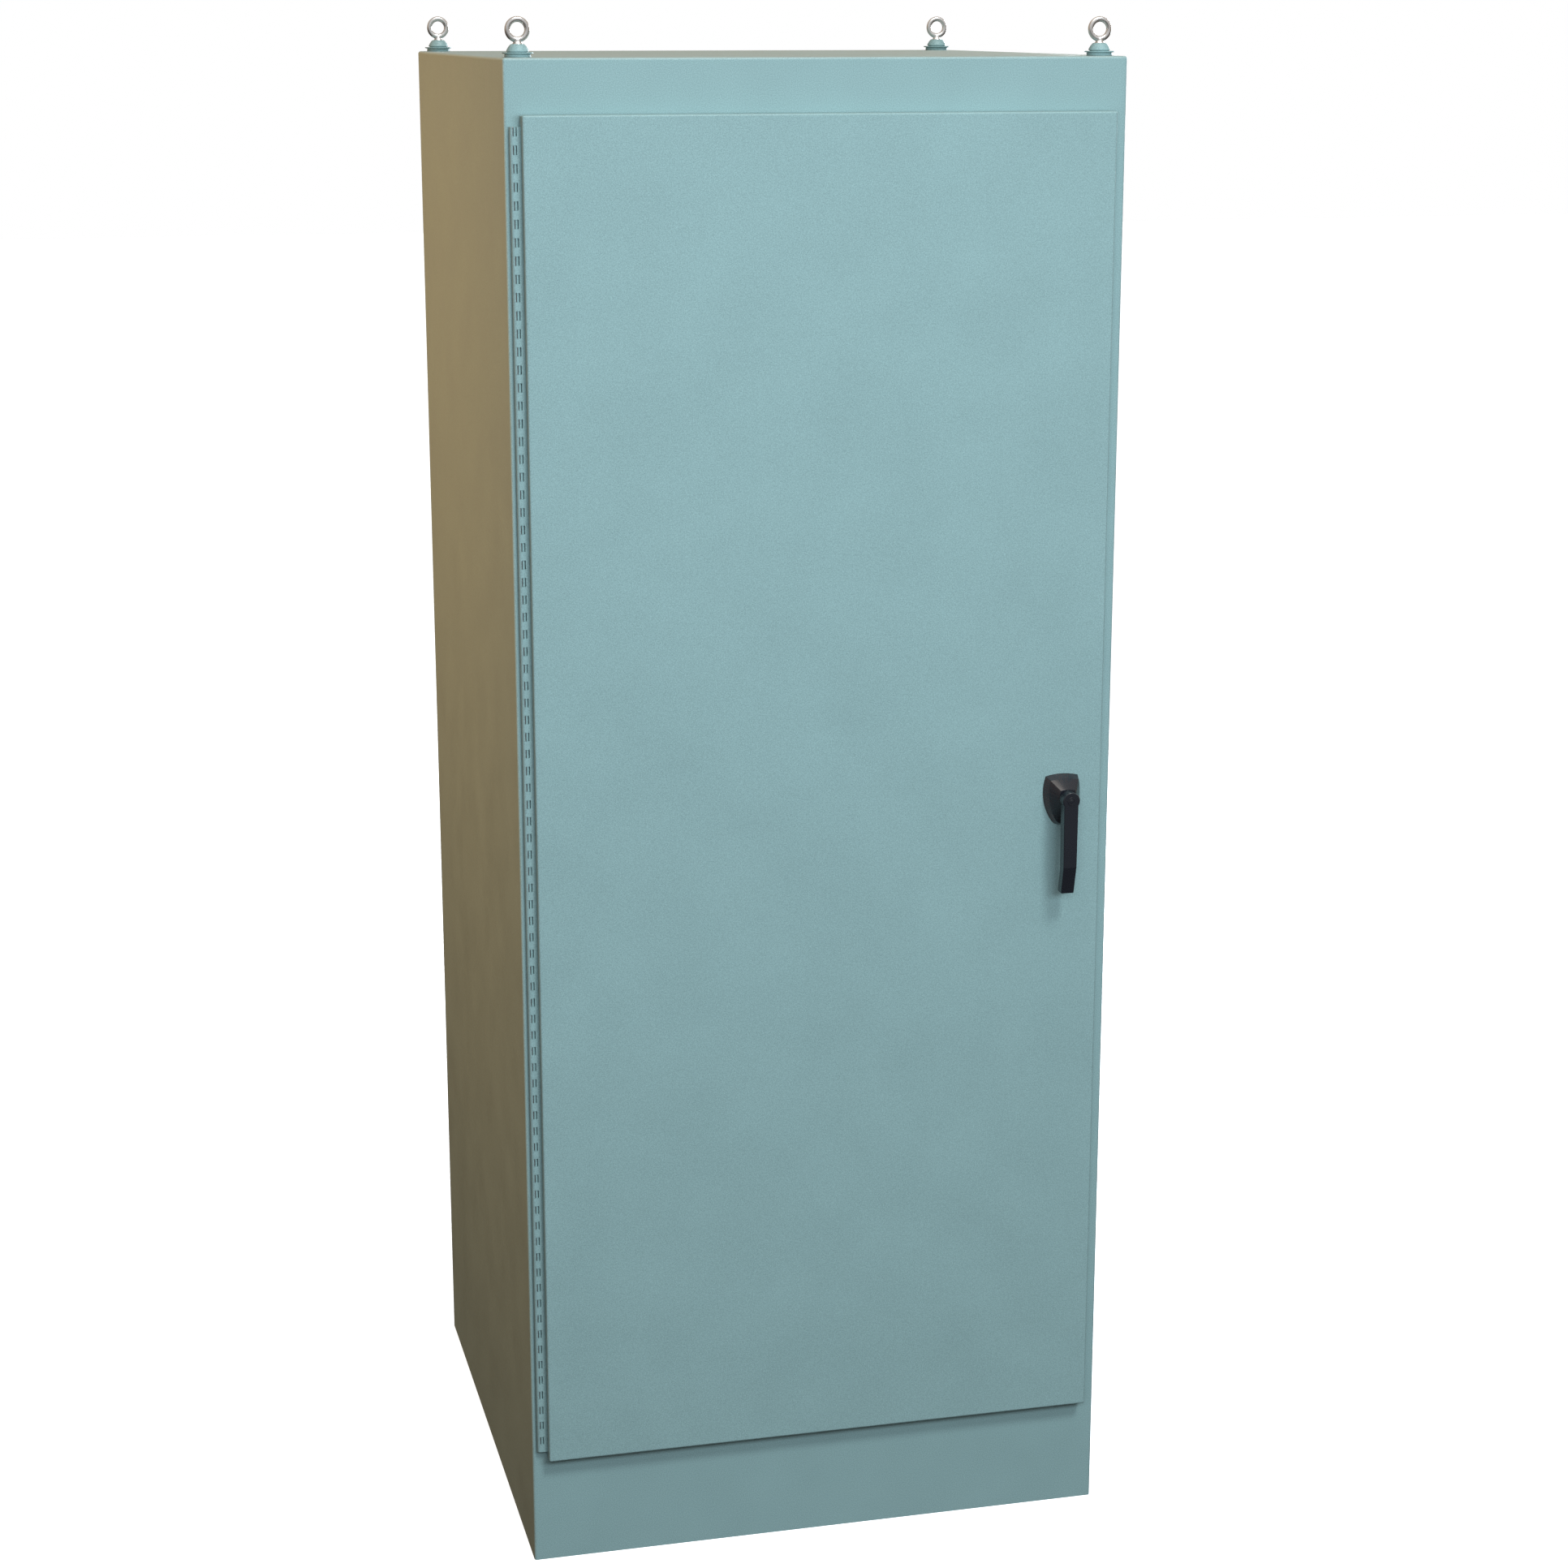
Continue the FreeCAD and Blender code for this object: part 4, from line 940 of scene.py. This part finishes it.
def light_only(light, pieces):
    """Let a light fall on some pieces and no others."""
    group = bpy.data.collections.new(light.name + "_receivers")
    for piece in pieces:
        group.objects.link(piece)
    light.light_linking.receiver_collection = group


def glow(tree, colour, strength=1.0):
    """A Background node; its colour is a value or an output."""
    node = new_node(tree, "ShaderNodeBackground", {"Strength": strength})
    if isinstance(colour, bpy.types.NodeSocket):
        tree.links.new(colour, node.inputs["Color"])
    else:
        node.inputs["Color"].default_value = (*colour, 1)
    return node.outputs[0]


def either(tree, switch, first, second):
    """The first shader, or the second where the switch is on."""
    node = tree.nodes.new("ShaderNodeMixShader")
    for socket, output in zip(node.inputs, (switch, first, second)):
        tree.links.new(output, socket)
    return node.outputs[0]


def studio_sky(scene):
    """White to look at; bright in front and tan behind in reflections; dim and from the front as light."""
    world = bpy.data.worlds.new("Studio")
    scene.world = world
    world.use_nodes = True
    tree = world.node_tree
    tree.nodes.clear()
    ray = new_node(tree, "ShaderNodeLightPath").outputs
    place = new_node(tree, "ShaderNodeTexCoord").outputs["Generated"]
    facing = new_node(tree, "ShaderNodeVectorMath", operation="DOT_PRODUCT")
    facing.inputs[1].default_value = (0, -0.8, 0.6)
    tree.links.new(place, facing.inputs[0])
    front = arithmetic(tree, "ADD", facing.outputs["Value"], 0.12)
    height = new_node(tree, "ShaderNodeSeparateXYZ")
    tree.links.new(place, height.inputs[0])
    lit = arithmetic(tree, "ADD", arithmetic(tree, "MULTIPLY", height.outputs["Z"], 2.5), 0.8)
    lit = arithmetic(tree, "MINIMUM", arithmetic(tree, "MAXIMUM", lit, 0.1), 1.0)
    behind = new_node(tree, "ShaderNodeVectorMath", operation="SCALE")
    behind.inputs[0].default_value = SKY_BEHIND
    tree.links.new(lit, behind.inputs["Scale"])
    ahead = new_node(tree, "ShaderNodeVectorMath", operation="SCALE")
    ahead.inputs[0].default_value = SKY_AHEAD
    tree.links.new(arithmetic(tree, "MAXIMUM", lit, 0.4), ahead.inputs["Scale"])
    mirrored = tree.nodes.new("ShaderNodeMixRGB")
    tree.links.new(ahead.outputs[0], mirrored.inputs["Color2"])
    tree.links.new(arithmetic(tree, "MAXIMUM", front, 0.0), mirrored.inputs["Fac"])
    tree.links.new(behind.outputs[0], mirrored.inputs["Color1"])
    ambient = arithmetic(tree, "MULTIPLY", arithmetic(tree, "MAXIMUM", front, 0.06), 0.24)
    light = either(tree, ray["Is Glossy Ray"], glow(tree, ambient), glow(tree, mirrored.outputs[0]))
    whole = either(tree, ray["Is Camera Ray"], light, glow(tree, (1, 1, 1)))
    out = tree.nodes.new("ShaderNodeOutputWorld")
    tree.links.new(whole, out.inputs["Surface"])


def floor_material(colour):
    """A pale matt floor, bright enough to read as white paper."""
    material = bpy.data.materials.new("studio_floor")
    material.use_nodes = True
    shader = material.node_tree.nodes["Principled BSDF"]
    socket_values(shader, {"Base Color": (*colour, 1), "Roughness": 0.9, "Specular IOR Level": 0.1,
                           "Emission Color": (1, 1, 1, 1), "Emission Strength": 0.82})
    return material


def hang_lights(scene, stage):
    """The area lights, some of which fall on chosen pieces only, and the high key light."""
    bodies = frame["record"]["behaviour"]["bodies"]
    shell = [frame["nodes"][node] for node in bodies["cabinet"] if not node.startswith("hinge")]
    rest = [piece for piece in scene.objects if piece.type == "MESH" and piece not in shell]
    receivers = {"side_light": shell, "edge_light": rest,
                 "base_light": [bpy.data.objects["handle_base_eased"]],
                 "roof_light": [frame["nodes"]["roof_panel"]]}
    powers = {"front_light": stage.front_power, "side_light": stage.side_power,
              "edge_light": stage.side_power * EDGE_SHARE, "base_light": stage.base_power,
              "top_light": stage.top_power, "roof_light": stage.roof_power, "rear_light": stage.rear_power}
    for name, place, target, size, colour, mirrored in AREA_LIGHTS:
        light = area_light(name, place, target, size, powers[name], colour)
        light.visible_glossy = mirrored
        if name in receivers:
            light_only(light, receivers[name])
    base_linking = bpy.data.objects["base_light"].light_linking
    base_linking.blocker_collection = base_linking.receiver_collection
    bpy.ops.object.light_add(type="SUN", location=(1, -4, 5))
    key = bpy.context.object
    key.name = "key_light"
    level = math.cos(stage.key_rise)
    toward = Vector((math.sin(stage.key_turn) * level, -math.cos(stage.key_turn) * level,
                     math.sin(stage.key_rise)))
    key.rotation_euler = toward.to_track_quat("Z", "Y").to_euler()
    key.data.energy = stage.key_strength
    key.data.angle = stage.key_softness
    key.data.color = (0.90, 0.97, 1.0)


def place_camera(scene, stage):
    """The camera, at the place the settings give."""
    camera = bpy.data.objects.new("camera", bpy.data.cameras.new("camera"))
    scene.collection.objects.link(camera)
    camera.data.lens = stage.focal_length
    camera.data.sensor_width = 36
    camera.location = stage.camera_place
    camera.rotation_euler = (math.pi / 2 - stage.camera_drop, 0, stage.camera_turn)
    scene.camera = camera


class ENCLOSURE_OT_stage(bpy.types.Operator):
    """Lay the pale floor, hang the studio's lights and set the camera"""

    bl_idname = "enclosure.stage"
    bl_label = "Stage"

    def execute(self, context):
        scene = context.scene
        stage = settings("enclosure_stage")
        scene.view_settings.view_transform = "Standard"
        studio_sky(scene)
        bpy.ops.object.select_all(action="DESELECT")
        bpy.ops.mesh.primitive_plane_add(size=FLOOR_SIZE, location=(0, 0, -FLOOR_DROP))
        floor = bpy.context.object
        floor.name = "studio_floor"
        floor.data.materials.append(floor_material(stage.floor_colour))
        floor.visible_diffuse = False
        floor.visible_glossy = False
        hang_lights(scene, stage)
        place_camera(scene, stage)
        return {"FINISHED"}


# ---- Panel and registration ------------------------------
OPERATORS = (
    ENCLOSURE_OT_finishes,
    ENCLOSURE_OT_lifting_eyes,
    ENCLOSURE_OT_eye_collars,
    ENCLOSURE_OT_handle,
    ENCLOSURE_OT_door_seal,
    ENCLOSURE_OT_hinge_pin,
    ENCLOSURE_OT_hinge_leaves,
    ENCLOSURE_OT_rollers,
    ENCLOSURE_OT_fasteners,
    ENCLOSURE_OT_latch,
    ENCLOSURE_OT_folded_pieces,
    ENCLOSURE_OT_stage,
)


class ENCLOSURE_PT_panel(bpy.types.Panel):
    """Buttons for each group of pieces, and their settings"""

    bl_label = "Enclosure"
    bl_idname = "ENCLOSURE_PT_panel"
    bl_space_type = "VIEW_3D"
    bl_region_type = "UI"
    bl_category = "Enclosure"

    def draw(self, context):
        for operator in OPERATORS:
            self.layout.operator(operator.bl_idname)
        for name, group in SETTINGS.items():
            box = self.layout.box()
            box.label(text=group.__doc__)
            for value in group.__annotations__:
                box.prop(getattr(context.scene, name), value)


def register():
    """Register the settings, the operators and the panel."""
    for name, group in SETTINGS.items():
        bpy.utils.register_class(group)
        setattr(bpy.types.Scene, name, PointerProperty(type=group))
    for operator in OPERATORS:
        bpy.utils.register_class(operator)
    bpy.utils.register_class(ENCLOSURE_PT_panel)


def unregister():
    """Remove everything that register added."""
    bpy.utils.unregister_class(ENCLOSURE_PT_panel)
    for operator in reversed(OPERATORS):
        bpy.utils.unregister_class(operator)
    for name, group in SETTINGS.items():
        delattr(bpy.types.Scene, name)
        bpy.utils.unregister_class(group)


def main():
    """Build everything in order."""
    register()
    for operator in OPERATORS:
        family, action = operator.bl_idname.split(".")
        getattr(getattr(bpy.ops, family), action)()


if __name__ == "__main__":
    main()
